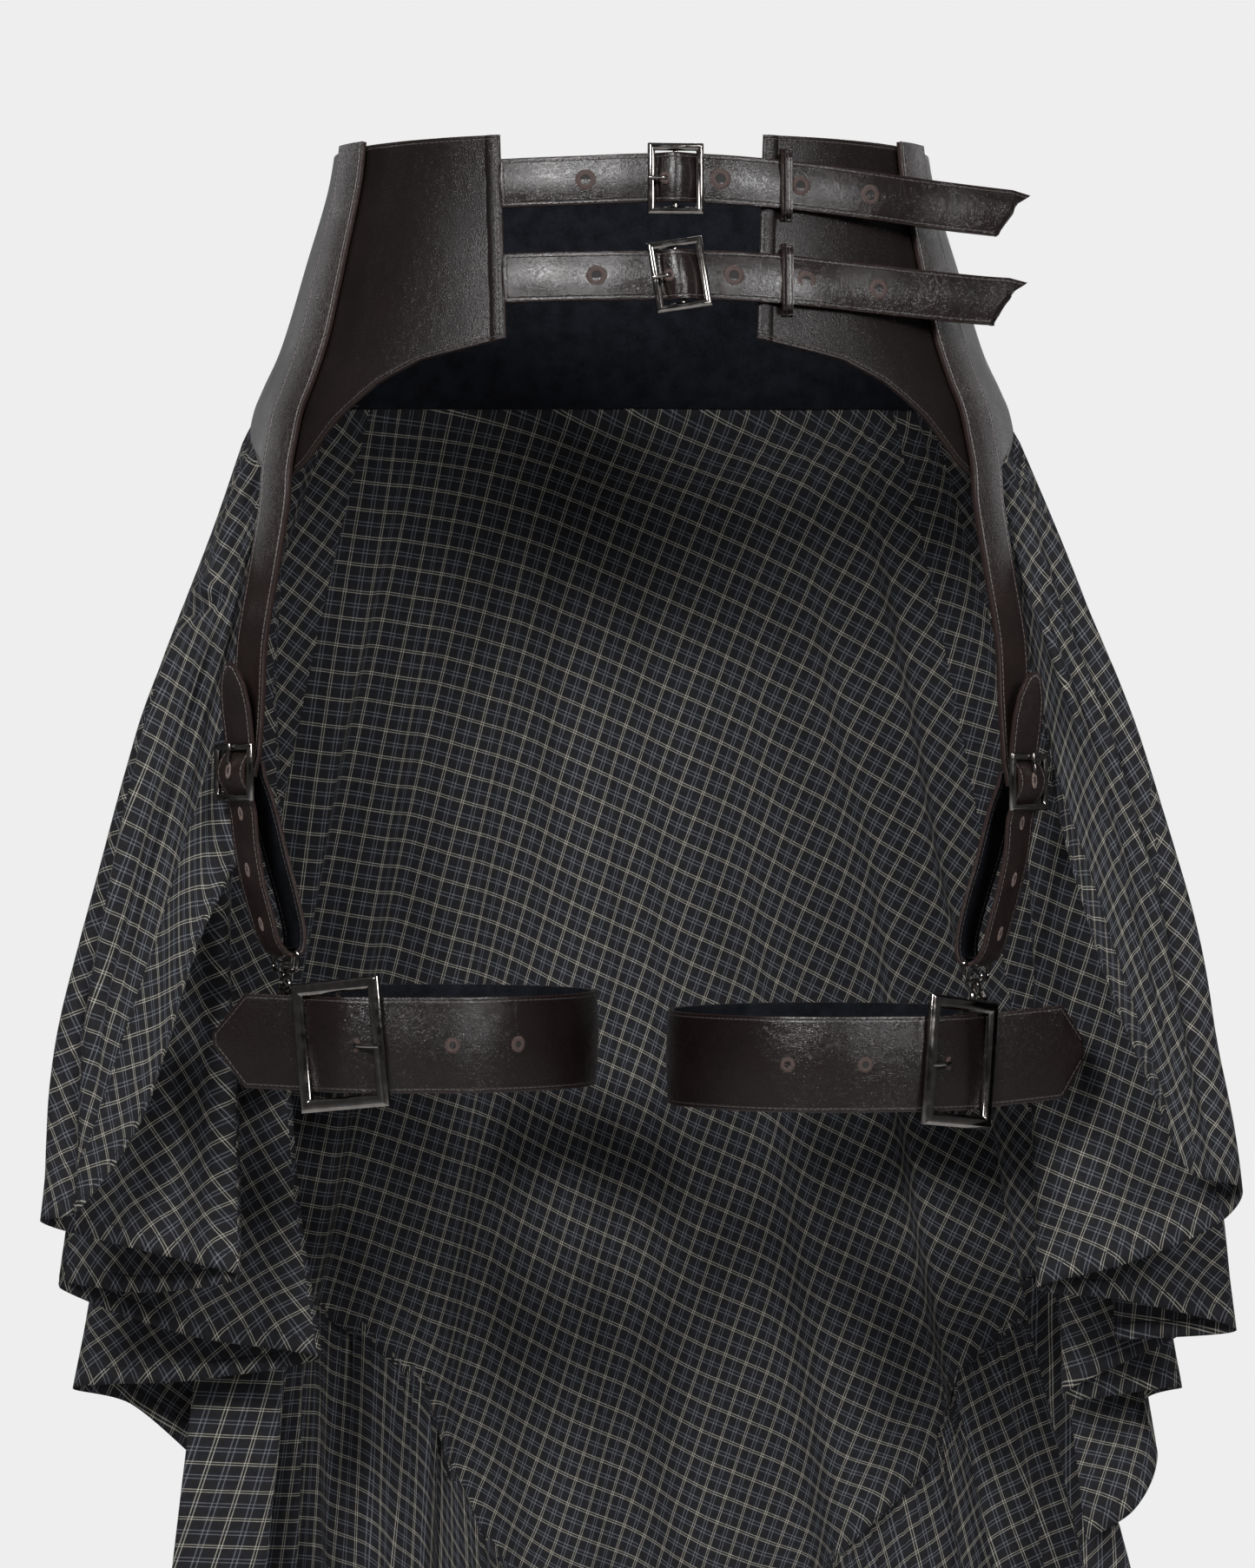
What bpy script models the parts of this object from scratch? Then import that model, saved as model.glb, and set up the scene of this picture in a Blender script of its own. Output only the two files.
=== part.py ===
"""An open-front plaid skirt on a dark leather hip harness, as it is worn.

The origin is on the waist line, midway between the hips, level with the top edge of
the leather. The front faces -Y and the wearer's right is -X. Sizes in the tables are
millimetres, and every mesh is made in metres.
"""

import math
from collections import namedtuple

import bmesh
import bpy
import numpy as np

MM = 0.001
SIDES = {"right": -1, "left": 1}

# Walls and clearances
SEAM_GAP = 0.3
LEATHER = 2.0
STRAP_LEATHER = 2.4
THIN_LEATHER = 1.6
CLOTH = 1.2
BAND_CLOTH = 1.0
YOKE_SEAM_DROP = 1.6

# Widths of the straps and bands
BELT_WIDTH = 20.0
GARTER_WIDTH = 20.0
THIGH_BAND_WIDTH = 39.5

# The general figure that the garment is cut for: half width and half depth at a height
Girth = namedtuple("Girth", "z half_width half_depth")
HIPS = (
    Girth(10, 122, 90),
    Girth(-15, 126, 91.5),
    Girth(-46, 135, 95),
    Girth(-82, 146, 101),
    Girth(-100, 154, 104),
    Girth(-112, 158.5, 106),
    Girth(-135, 162, 110),
    Girth(-165, 164.5, 113),
    Girth(-230, 163, 113),
)
PANEL_OUT = 2.0
TOP_EDGE = -1.0

# Leather outlines, by angle round the hips from the centre front
SEAM_ANGLE = 63.3
SIDE_BACK_ANGLE = 118.0
FRONT_EDGE_TOP_X = 54.5
FRONT_EDGE_LOW_X = 51.5
FrontLow = namedtuple("FrontLow", "share z")
FRONT_PANEL_LOW = (
    FrontLow(0.0, -85.7),
    FrontLow(0.10, -88.0),
    FrontLow(0.34, -93.6),
    FrontLow(0.50, -102.0),
    FrontLow(0.68, -117.5),
    FrontLow(0.82, -134.0),
    FrontLow(1.0, -146.0),
)
YokeLow = namedtuple("YokeLow", "angle z")
YOKE_LOW = (
    YokeLow(66, -138.5),
    YokeLow(70, -135.0),
    YokeLow(76, -128.5),
    YokeLow(83, -120.0),
    YokeLow(90, -114.0),
    YokeLow(100, -109.0),
    YokeLow(115, -105.0),
    YokeLow(140, -102.0),
    YokeLow(180, -100.0),
)

# A fold line runs from the seam to the hem. The seam end is an angle round the hips, with
# a height only where the cloth is held by the garter strap instead of the yoke. The bow is
# how far the line swings out, sideways and backwards, halfway down.
Fold = namedtuple("Fold", "angle seam_z hem_x hem_y hem_z bow_out bow_back")
DRAPE_FOLDS = {
    "right": (
        Fold(76, -206, 158, -22, -215, 0, 0),
        Fold(75, -190, 166, -18, -248, 2, 2),
        Fold(74, -176, 162, -20, -286, 3, 3),
        Fold(73, -165, 181, -29, -332, 4, 6),
        Fold(72, -156, 194, -34, -376, 7, 8),
        Fold(70.8, -148, 207, -35, -412, 10, 6),
        Fold(73, None, 232, -30, -446, 13, 2),
        Fold(83, None, 249, -18, -453, 14, 0),
        Fold(88, None, 213, -2, -465, 12, 0),
        Fold(93, None, 169, 14, -479, 8, 0),
        Fold(98, None, 209, 30, -487, 9, 0),
        Fold(103, None, 250, 42, -485, 12, 0),
        Fold(108, None, 196, 58, -508, 12, 0),
        Fold(113, None, 138, 74, -520, 16, 2),
        Fold(118, None, 193, 88, -531, 12, 4),
        Fold(123, None, 248, 102, -536, 8, 6),
        Fold(128, None, 224, 116, -545, 8, 6),
        Fold(133, None, 197, 128, -570, 10, 6),
    ),
    "left": (
        Fold(75, -194, 166, -22, -198, 0, 0),
        Fold(75, -184, 175, -18, -226, 1, 1),
        Fold(74, -173, 180, -22, -277, 2, 3),
        Fold(73, -164, 190, -30, -319, 3, 6),
        Fold(72, -156, 200, -35, -353, 6, 8),
        Fold(70.5, -148, 212, -36, -383, 10, 7),
        Fold(72, None, 232, -32, -427, 13, 5),
        Fold(77, None, 242, -27, -434, 16, 2),
        Fold(83, None, 258, -18, -439, 15, 0),
        Fold(87, None, 248, -8, -455, 13, 0),
        Fold(91, None, 212, 4, -472, 10, 0),
        Fold(96, None, 174, 16, -484, 3, 0),
        Fold(101, None, 215, 32, -491, 9, 0),
        Fold(105, None, 263, 46, -505, 12, 0),
        Fold(108, None, 211, 56, -510, 14, 0),
        Fold(111, None, 242, 66, -508, 12, 0),
        Fold(115, None, 189, 80, -538, 12, 2),
        Fold(120, None, 244, 95, -535, 8, 5),
        Fold(124, None, 228, 105, -543, 9, 6),
        Fold(127, None, 235, 112, -570, 8, 6),
        Fold(130, None, 225, 116, -592, 8, 6),
        Fold(133, None, 203, 112, -606, 8, 6),
    ),
}
DRAPE_STEPS_ACROSS = 3
DRAPE_STEPS_DOWN = 8

# The faced strip along each drape's front edge: how far it reaches up the fold lines, which
# run nearly along the edge there, at a place counted in folds
BandReach = namedtuple("BandReach", "fold reach")
EDGE_BAND = {
    "right": (BandReach(2.1, 72), BandReach(3.0, 92), BandReach(4.0, 95), BandReach(5.0, 82), BandReach(6.1, 20)),
    "left": (BandReach(2.1, 40), BandReach(3.0, 46), BandReach(4.0, 44), BandReach(5.0, 26), BandReach(5.6, 12)),
}
BAND_STEPS_ACROSS = 14
BAND_STEPS_DOWN = 3

# The back skirt hangs from the yoke to a gathered seam, lower at the centre than at the sides
BACK_FOLDS = 16
BACK_STEPS_ACROSS = 3
BACK_STEPS_DOWN = 7
BACK_HALF_WIDTH = 188.0
BACK_SIDE_Y = 120.0
BACK_DEPTH = 66.0
BACK_WAVE = 9.0
TIER_SEAM_CENTRE_Z = -690.0
TierSeam = namedtuple("TierSeam", "side_z sharpness")
TIER_SEAM = {"right": TierSeam(-500.0, 8.0), "left": TierSeam(-487.0, 2.4)}

# The gathered lower tier
FLOUNCE_WAVES = 20
FLOUNCE_STEPS_PER_WAVE = 4
FLOUNCE_STEPS_DOWN = 5
FLOUNCE_HALF_WIDTH = 222.0
FLOUNCE_CENTRE_X = 17.0
FLOUNCE_SIDE_Y = 138.0
FLOUNCE_DEPTH = 76.0
FLOUNCE_WAVE = 10.0
FLOUNCE_GATHER = 1.2
FLOUNCE_SIDE_Z = -668.0
FLOUNCE_CENTRE_Z = -850.0
# Pleats at the flounce's two front edges: seam end, then hem end
Pleat = namedtuple("Pleat", "seam_x seam_y seam_z hem_x hem_y hem_z")
FLOUNCE_PLEATS = {
    "right": (
        Pleat(-184, 110, -507, -204, 104, -655),
        Pleat(-168, 110, -512, -184, 106, -660),
        Pleat(-152, 114, -516, -166, 113, -668),
        Pleat(-168, 121, -509, -190, 126, -674),
    ),
    "left": (
        Pleat(176, 119, -496, 208, 127, -640),
        Pleat(184, 124, -494, 230, 132, -652),
    ),
}

# The line that each garter strap follows below the hip, as seen on the right side
Drop = namedtuple("Drop", "z out_x y facing")
GARTER_LINE = (
    Drop(-152, 148.6, -54.4, 51),
    Drop(-208, 158.5, -42.6, 50),
    Drop(-262, 161.0, -40.0, 53),
    Drop(-300, 159.5, -38.0, 58),
    Drop(-345, 151.5, -35.0, 60),
)
StrapAngle = namedtuple("StrapAngle", "z angle")
GARTER_ON_HIP = (
    StrapAngle(0.6, 65.5),
    StrapAngle(-50, 62.8),
    StrapAngle(-100, 60.5),
    StrapAngle(-137, 62.0),
)
GARTER_HIP_HEIGHTS = (0.6, -15, -30, -46, -64, -82, -100, -112, -124, -137)
STRAP_EASE = 0.4
GARTER_OUT = PANEL_OUT + LEATHER / 2 + SEAM_GAP + STRAP_EASE + STRAP_LEATHER / 2
GARTER_BUCKLE_Z = {"right": -262.6, "left": -266.6}
GARTER_BUCKLE_WIDTH = 28.0
GARTER_BUCKLE_HEIGHT = 24.0
GARTER_BUCKLE_BAR = 3.0
# The adjuster's middle line: height above the buckle and how far out from the garter line
Loop = namedtuple("Loop", "rise out width")
ADJUSTER = (
    Loop(46.0, 11.5, 2.0),
    Loop(43.5, 10.8, 9.0),
    Loop(36.0, 9.0, 17.0),
    Loop(27.0, 7.0, 20.0),
    Loop(18.0, 5.2, 20.0),
    Loop(11.0, 4.1, 20.0),
    Loop(8.4, 4.3, 20.0),
    Loop(4.2, 6.9, 20.0),
    Loop(0.0, 8.0, 20.0),
    Loop(-4.2, 6.9, 20.0),
    Loop(-8.4, 4.3, 20.0),
    Loop(-11.0, 4.0, 20.0),
    Loop(-17.0, 2.6, 20.0),
    Loop(-30.0, 1.8, 20.0),
    Loop(-45.0, 0.8, 20.0),
    Loop(-60.0, -0.6, 20.0),
    Loop(-70.0, -1.8, 19.0),
    Loop(-75.4, -5.0, 18.0),
    Loop(-76.5, -8.6, 18.0),
    Loop(-74.4, -12.4, 18.0),
    Loop(-66.0, -14.6, 19.0),
    Loop(-50.0, -13.8, 20.0),
    Loop(-34.0, -11.8, 20.0),
    Loop(-20.0, -8.6, 20.0),
    Loop(-9.0, -5.4, 20.0),
    Loop(-2.0, -2.6, 20.0),
    Loop(4.0, -1.3, 20.0),
)
# The strap's lower end, which rises to the buckle's bar: height above the buckle, and out
STRAP_END = ((9.0, 0.4), (3.0, 1.5), (-2.0, 2.5))
# The ring that the adjuster folds round, and the clasp that hooks it to the thigh band
LOOP_MIDDLE_OUT = -8.4
RING_BAR_RISE = -74.3
RING_WIDTH = 22.6
RING_HEIGHT = 9.0
RING_CORNER = 2.4
RING_WIRE = 0.9
CLASP_WIRE = 1.1
CLASP_HALF_WIDTH = 3.4

# The thigh bands: centre of each leg's hollow and its half width and half depth
Thigh = namedtuple("Thigh", "centre_x half_width half_depth z buckle_angle")
THIGHS = {
    "right": Thigh(83.0, 64.5, 72.0, -375.3, 31.0),
    "left": Thigh(84.0, 65.0, 72.0, -383.3, 46.0),
}
# The loose end of each thigh band: turn away from the leg, rise, and its shaped tip
Tab = namedtuple("Tab", "turn rise corner_reach tip_reach tip_half_height")
TABS = {
    "right": Tab(9.0, 0.02, 26.0, 41.0, 2.5),
    "left": Tab(20.0, 0.07, 37.0, 47.0, 5.0),
}
THIGH_BUCKLE_WIDTH = 45.0
THIGH_BUCKLE_HEIGHT = 54.0
THIGH_BUCKLE_BAR = 5.5
THIGH_BUCKLE_ROLL = 6.0
THIGH_BAND_STEPS = 28
THIGH_BAND_OUT = 2.2
THIGH_BAND_SWEEP = 330.0
THIGH_BUCKLE_OUT = 8.6
# How the band passes through its buckle: distance along it from the bar, and the rise
Pass = namedtuple("Pass", "reach rise")
THIGH_PASS = (
    Pass(-24.0, -8.6),
    Pass(-19.5, -4.9),
    Pass(-14.0, -2.6),
    Pass(-7.5, -0.3),
    Pass(0.0, 1.2),
    Pass(7.5, -0.3),
    Pass(16.0, -3.2),
    Pass(22.5, -3.3),
)

# The waist belts: x, how far the leather's middle stands off the figure, and the height
BeltStop = namedtuple("BeltStop", "x out z")
BeltTail = namedtuple("BeltTail", "x y z")
Belt = namedtuple("Belt", "stops tail buckle_x buckle_z roll keeper_x")
BELT_TILT = 0.13
TIP_TOP_REACH = 8.5
TIP_LOW_BACK = 8.0
TIP_ROUNDING = 1.5
BELTS = {
    "upper": Belt(
        (
            BeltStop(-53.2, 2.0, -21.3),
            BeltStop(-38.0, 2.2, -21.1),
            BeltStop(-24.0, 2.4, -20.9),
            BeltStop(-6.0, 3.2, -20.4),
            BeltStop(9.5, 4.3, -20.0),
            BeltStop(14.0, 7.2, -20.0),
            BeltStop(18.0, 8.9, -20.0),
            BeltStop(22.0, 7.2, -20.0),
            BeltStop(26.5, 4.5, -20.0),
            BeltStop(37.0, 4.7, -20.4),
            BeltStop(47.0, 4.9, -20.9),
            BeltStop(60.0, 5.1, -21.6),
            BeltStop(75.0, 5.6, -22.6),
        ),
        (
            BeltTail(98.0, -71.5, -24.6),
            BeltTail(120.0, -59.6, -26.4),
            BeltTail(143.0, -49.0, -28.2),
            BeltTail(159.0, -41.5, -29.2),
        ),
        18.0,
        -20.6,
        0.0,
        63.5,
    ),
    "lower": Belt(
        (
            BeltStop(-51.7, 2.0, -60.8),
            BeltStop(-38.0, 2.2, -60.7),
            BeltStop(-24.0, 2.4, -60.6),
            BeltStop(-6.0, 3.2, -60.5),
            BeltStop(11.5, 4.3, -60.4),
            BeltStop(15.5, 7.2, -60.3),
            BeltStop(19.5, 8.9, -60.2),
            BeltStop(23.5, 7.2, -60.1),
            BeltStop(27.8, 4.4, -60.1),
            BeltStop(38.5, 4.7, -60.2),
            BeltStop(47.0, 4.9, -60.5),
            BeltStop(60.0, 5.1, -61.2),
            BeltStop(75.0, 5.6, -62.2),
        ),
        (
            BeltTail(98.0, -78.5, -63.8),
            BeltTail(120.0, -68.5, -65.2),
            BeltTail(143.0, -57.5, -66.4),
            BeltTail(157.0, -51.0, -66.8),
        ),
        19.5,
        -60.2,
        9.0,
        63.8,
    ),
}
WAIST_BUCKLE_WIDTH = 23.0
WAIST_BUCKLE_HEIGHT = 29.4
WAIST_BUCKLE_BAR = 3.0
WAIST_BUCKLE_DEPTH = 2.6
WAIST_BUCKLE_OUT = 8.0
CENTRE_BAR_RADIUS = 1.1
TONGUE_RADIUS = 0.8
KEEPER_WIDTH = 4.6
KEEPER_HALF_HEIGHT = 15.0

LEATHER_COLOUR = (0.030, 0.021, 0.019, 1.0)
METAL_COLOUR = (0.22, 0.20, 0.19, 1.0)
PLAID_COLOUR = (0.030, 0.031, 0.036, 1.0)


def make_material(name, colour, roughness, metallic):
    material = bpy.data.materials.new(name)
    material.use_nodes = True
    shader = material.node_tree.nodes["Principled BSDF"]
    shader.inputs["Base Color"].default_value = colour
    shader.inputs["Roughness"].default_value = roughness
    shader.inputs["Metallic"].default_value = metallic
    return material


def link_mesh(name, mesh, look):
    """Adds an object that holds this mesh, with a material of its own."""
    colour, roughness, metallic = look
    mesh.materials.append(make_material(name + "_finish", colour, roughness, metallic))
    obj = bpy.data.objects.new(name, mesh)
    bpy.context.scene.collection.objects.link(obj)
    return obj


LEATHER_LOOK = (LEATHER_COLOUR, 0.48, 0.0)
METAL_LOOK = (METAL_COLOUR, 0.22, 1.0)
PLAID_LOOK = (PLAID_COLOUR, 0.85, 0.0)


# Curves and sheets


def smooth_through(points, at):
    """Reads a smooth curve through the points, at places counted in points."""
    points = np.asarray(points, float)
    last = len(points) - 1
    at = np.clip(np.asarray(at, float), 0.0, last)
    start = np.minimum(np.floor(at).astype(int), last - 1)
    part = (at - start).reshape((-1,) + (1,) * (points.ndim - 1))
    before = points[np.maximum(start - 1, 0)]
    here = points[start]
    there = points[start + 1]
    after = points[np.minimum(start + 2, last)]
    leave = (there - before) / 2
    arrive = (after - here) / 2
    rise = there - here
    return here + part * (leave + part * (3 * rise - 2 * leave - arrive + part * (leave + arrive - 2 * rise)))


def unit(vectors):
    vectors = np.asarray(vectors, float)
    length = np.linalg.norm(vectors, axis=-1, keepdims=True)
    return vectors / np.maximum(length, 1e-9)


def sheet_normals(grid):
    """The direction square to the sheet at each point of a grid of points."""
    across = np.gradient(grid, axis=0)
    down = np.gradient(grid, axis=1)
    return unit(np.cross(across, down))


def wall(name, grid, thickness, look):
    """A closed wall, half its thickness to each side of a grid of points in millimetres."""
    normals = sheet_normals(grid)
    columns, rows = grid.shape[:2]
    mesh_points = []
    model = bmesh.new()
    for side in (0.5, -0.5):
        skin = (grid + normals * thickness * side) * MM
        mesh_points.append([[model.verts.new(point) for point in column] for column in skin])
    outer, inner = mesh_points
    for i in range(columns - 1):
        for j in range(rows - 1):
            model.faces.new((outer[i][j], outer[i + 1][j], outer[i + 1][j + 1], outer[i][j + 1]))
            model.faces.new((inner[i][j], inner[i][j + 1], inner[i + 1][j + 1], inner[i + 1][j]))
    for j in range(rows - 1):
        model.faces.new((outer[0][j], outer[0][j + 1], inner[0][j + 1], inner[0][j]))
        model.faces.new((outer[-1][j], inner[-1][j], inner[-1][j + 1], outer[-1][j + 1]))
    for i in range(columns - 1):
        model.faces.new((outer[i][0], inner[i][0], inner[i + 1][0], outer[i + 1][0]))
        model.faces.new((outer[i][-1], outer[i + 1][-1], inner[i + 1][-1], inner[i][-1]))
    bmesh.ops.recalc_face_normals(model, faces=model.faces)
    mesh = bpy.data.meshes.new(name)
    model.to_mesh(mesh)
    model.free()
    mesh.shade_smooth()
    mesh.set_sharp_from_angle(angle=math.radians(50))
    return link_mesh(name, mesh, look)


# The figure


HIP_CURVE = smooth_through(HIPS[::-1], np.linspace(0, len(HIPS) - 1, 8 * len(HIPS)))


def girth(z):
    """Half width and half depth of the figure at a height."""
    half_width = np.interp(z, HIP_CURVE[:, 0], HIP_CURVE[:, 1])
    half_depth = np.interp(z, HIP_CURVE[:, 0], HIP_CURVE[:, 2])
    return half_width, half_depth


def on_hips(side, angle, z, out):
    """A point this far off the figure, at an angle in degrees from the centre front."""
    half_width, half_depth = girth(z)
    turn = math.radians(angle)
    return np.array(
        (side * (half_width + out) * math.sin(turn), -(half_depth + out) * math.cos(turn), z)
    )


def angle_at_x(x, z, out):
    half_width, _ = girth(z)
    return math.degrees(math.asin(x / (half_width + out)))


def yoke_low(angle):
    return np.interp(angle, [row.angle for row in YOKE_LOW], [row.z for row in YOKE_LOW])


# Leather panels


def front_edge_x(z):
    """How far each front panel's centre front edge lies from the middle at a height."""
    drop = (TOP_EDGE - z) / (TOP_EDGE - FRONT_PANEL_LOW[0].z)
    return FRONT_EDGE_TOP_X + (FRONT_EDGE_LOW_X - FRONT_EDGE_TOP_X) * min(drop, 1)


def front_panel(name, side):
    shares = np.linspace(0, 1, 12)
    low = np.interp(shares, [row.share for row in FRONT_PANEL_LOW], [row.z for row in FRONT_PANEL_LOW])
    grid = []
    for share, low_z in zip(shares, low):
        column = []
        for z in np.linspace(TOP_EDGE, low_z, 9):
            edge_angle = angle_at_x(front_edge_x(z), z, PANEL_OUT)
            angle = edge_angle + (SEAM_ANGLE - edge_angle) * share
            column.append(on_hips(side, angle, z, PANEL_OUT))
        grid.append(column)
    return wall(name, np.array(grid), LEATHER, LEATHER_LOOK)


def yoke_panel(name, side, first_angle, last_angle, columns):
    grid = []
    for angle in np.linspace(first_angle, last_angle, columns):
        heights = np.linspace(TOP_EDGE, yoke_low(min(angle, 360 - angle)), 7)
        grid.append([on_hips(side, angle, z, PANEL_OUT) for z in heights])
    return wall(name, np.array(grid), LEATHER, LEATHER_LOOK)


def make_panels():
    gap_angle = 0.32
    for label, side in SIDES.items():
        front_panel("front_panel_" + label, side)
        yoke_panel("side_yoke_" + label, side, SEAM_ANGLE + gap_angle, SIDE_BACK_ANGLE, 9)
    yoke_panel("back_yoke", 1, SIDE_BACK_ANGLE + gap_angle, 360 - SIDE_BACK_ANGLE - gap_angle, 17)


# Straps


def ribbon(name, middle, across, widths, thickness):
    """A flat strap along a middle line, with a width at each point."""
    half = np.asarray(widths, float)[:, None] / 2
    grid = np.stack([middle - across * half, middle + across * half], axis=1)
    return wall(name, grid, thickness, LEATHER_LOOK)


def garter_frame(side, z):
    """The garter line's point at a height, with the strap's across and outward directions."""
    heights = [row.z for row in reversed(GARTER_LINE)]
    x = np.interp(z, heights, [row.out_x for row in reversed(GARTER_LINE)])
    y = np.interp(z, heights, [row.y for row in reversed(GARTER_LINE)])
    facing = math.radians(np.interp(z, heights, [row.facing for row in reversed(GARTER_LINE)]))
    across = np.array((-side * math.cos(facing), -math.sin(facing), 0.0))
    outward = np.array((side * math.sin(facing), -math.cos(facing), 0.0))
    return np.array((side * x, y, z)), across, outward


def garter_strap(name, side, buckle_z):
    middle = []
    across = []
    rows = GARTER_ON_HIP[::-1]
    for z in GARTER_HIP_HEIGHTS:
        half_width, half_depth = girth(z)
        angle = np.interp(z, [row.z for row in rows], [row.angle for row in rows])
        point = on_hips(side, angle, z, GARTER_OUT)
        slope = np.array((point[0] / half_width**2, point[1] / half_depth**2, 0.0))
        outward = unit(slope)
        middle.append(point)
        across.append(np.array((side * outward[1], -side * outward[0], 0.0)))
    free = [(z, 0.0) for z in (-152.0, -180.0, -208.0, -235.0)]
    free += [(buckle_z + rise, out) for rise, out in STRAP_END]
    for z, out in free:
        point, side_way, outward = garter_frame(side, z)
        middle.append(point + outward * out)
        across.append(side_way)
    places = np.linspace(0, len(middle) - 1, 2 * len(middle) - 1)
    middle = smooth_through(middle, places)
    across = unit(smooth_through(across, places))
    return ribbon(name, middle, across, np.full(len(middle), GARTER_WIDTH), STRAP_LEATHER)


def adjuster_line(side, buckle_z):
    """The adjuster's middle line with its across directions and widths."""
    middle = []
    across = []
    for row in ADJUSTER:
        point, side_way, outward = garter_frame(side, buckle_z + row.rise)
        middle.append(point + outward * row.out)
        across.append(side_way)
    return np.array(middle), np.array(across), np.array([row.width for row in ADJUSTER])


def garter_adjuster(name, side, buckle_z):
    middle, across, widths = adjuster_line(side, buckle_z)
    places = np.linspace(0, len(middle) - 1, 2 * len(middle) - 1)
    middle = smooth_through(middle, places)
    across = unit(smooth_through(across, places))
    widths = np.interp(places, range(len(widths)), widths)
    return ribbon(name, middle, across, widths, THIN_LEATHER)


# Metal


def frame_path(width, height, corner, steps):
    """A closed rectangle with round corners, as points in its own plane."""
    path = []
    for quarter in range(4):
        turn = math.radians(90 * quarter)
        centre_x = (width / 2 - corner) * (1 if quarter in (0, 3) else -1)
        centre_z = (height / 2 - corner) * (1 if quarter in (0, 1) else -1)
        for step in range(steps + 1):
            bend = turn + math.radians(90) * step / steps
            path.append((centre_x + corner * math.cos(bend), centre_z + corner * math.sin(bend)))
    return np.array(path)


def add_tube_ring(model, centres, outward, lift, half_bar, half_depth):
    """A closed ring of eight-sided sections: outward lies in the ring's plane, lift square to it."""
    chamfer = 0.45
    section = []
    for along, up in ((1, chamfer), (chamfer, 1), (-chamfer, 1), (-1, chamfer)):
        section.append((along, up))
    section += [(-along, -up) for along, up in section]
    rings = []
    for centre, side_way in zip(centres, outward):
        rings.append(
            [
                model.verts.new((centre + side_way * along * half_bar + lift * up * half_depth) * MM)
                for along, up in section
            ]
        )
    count = len(section)
    for i in range(len(rings)):
        here = rings[i]
        there = rings[(i + 1) % len(rings)]
        for k in range(count):
            model.faces.new((here[k], there[k], there[(k + 1) % count], here[(k + 1) % count]))


def add_rod(model, start, end, radius, sides):
    axis = unit(end - start)
    helper = np.array((0.0, 0.0, 1.0)) if abs(axis[2]) < 0.9 else np.array((1.0, 0.0, 0.0))
    first = unit(np.cross(axis, helper))
    second = np.cross(axis, first)
    ends = []
    for point in (start, end):
        ring = []
        for k in range(sides):
            turn = 2 * math.pi * k / sides
            ring.append(
                model.verts.new((point + (first * math.cos(turn) + second * math.sin(turn)) * radius) * MM)
            )
        ends.append(ring)
    for k in range(sides):
        model.faces.new((ends[0][k], ends[0][(k + 1) % sides], ends[1][(k + 1) % sides], ends[1][k]))
    model.faces.new(tuple(reversed(ends[0])))
    model.faces.new(tuple(ends[1]))


def finish_metal(name, model):
    bmesh.ops.recalc_face_normals(model, faces=model.faces)
    mesh = bpy.data.meshes.new(name)
    model.to_mesh(mesh)
    model.free()
    mesh.shade_smooth()
    mesh.set_sharp_from_angle(angle=math.radians(40))
    return link_mesh(name, mesh, METAL_LOOK)


def helper_mesh(name, model):
    """A closed helper that a Boolean joins to a node. It isn't rendered."""
    obj = finish_metal(name, model)
    obj.hide_render = True
    obj.display_type = "WIRE"
    return obj


def outline_ring(model, place, right, up, outline, half_bar, half_depth):
    """A closed ring that follows an outline in the plane of right and up."""
    side_ways = []
    for i in range(len(outline)):
        before = unit(outline[i] - outline[i - 1])
        after = unit(outline[(i + 1) % len(outline)] - outline[i])
        along = unit(before + after)
        normal = np.array((along[1], -along[0]))
        if np.dot(normal, np.sign(outline[i])) < 0:
            normal = -normal
        side_ways.append(normal[0] * right + normal[1] * up)
    centres = place + outline[:, :1] * right + outline[:, 1:] * up
    add_tube_ring(model, centres, side_ways, np.cross(right, up), half_bar, half_depth)


def buckle(name, place, right, up, width, height, bar, depth, bar_back):
    """A rectangular frame with a bar down its middle, set back from the frame's plane."""
    outward = np.cross(right, up)
    model = bmesh.new()
    outline = frame_path(width - bar, height - bar, bar * 0.55, 2)
    outline_ring(model, place, right, up, outline, bar / 2, depth / 2)
    frame = finish_metal(name, model)
    half = up * (height / 2 - bar / 2)
    rod = bmesh.new()
    middle = place - outward * bar_back
    add_rod(rod, middle - half, middle + half, CENTRE_BAR_RADIUS, 8)
    centre_bar = helper_mesh(name + "_bar_helper", rod)
    join = frame.modifiers.new("centre bar", "BOOLEAN")
    join.operation = "UNION"
    join.solver = "EXACT"
    join.object = centre_bar
    return frame


def tongue(name, start, middle, end):
    """A short pin that leaves the leather and lies on the buckle's frame."""
    model = bmesh.new()
    points = [np.asarray(point, float) for point in (start, middle, end)]
    rings = []
    sides = 6
    for i, point in enumerate(points):
        axis = unit(points[min(i + 1, 2)] - points[max(i - 1, 0)])
        first = unit(np.cross(axis, (0.0, 0.0, 1.0)))
        second = np.cross(axis, first)
        ring = []
        for k in range(sides):
            turn = 2 * math.pi * k / sides
            offset = (first * math.cos(turn) + second * math.sin(turn)) * TONGUE_RADIUS
            ring.append(model.verts.new((point + offset) * MM))
        rings.append(ring)
    for here, there in zip(rings, rings[1:]):
        for k in range(sides):
            model.faces.new((here[k], here[(k + 1) % sides], there[(k + 1) % sides], there[k]))
    model.faces.new(tuple(reversed(rings[0])))
    model.faces.new(tuple(rings[-1]))
    return finish_metal(name, model)


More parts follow.
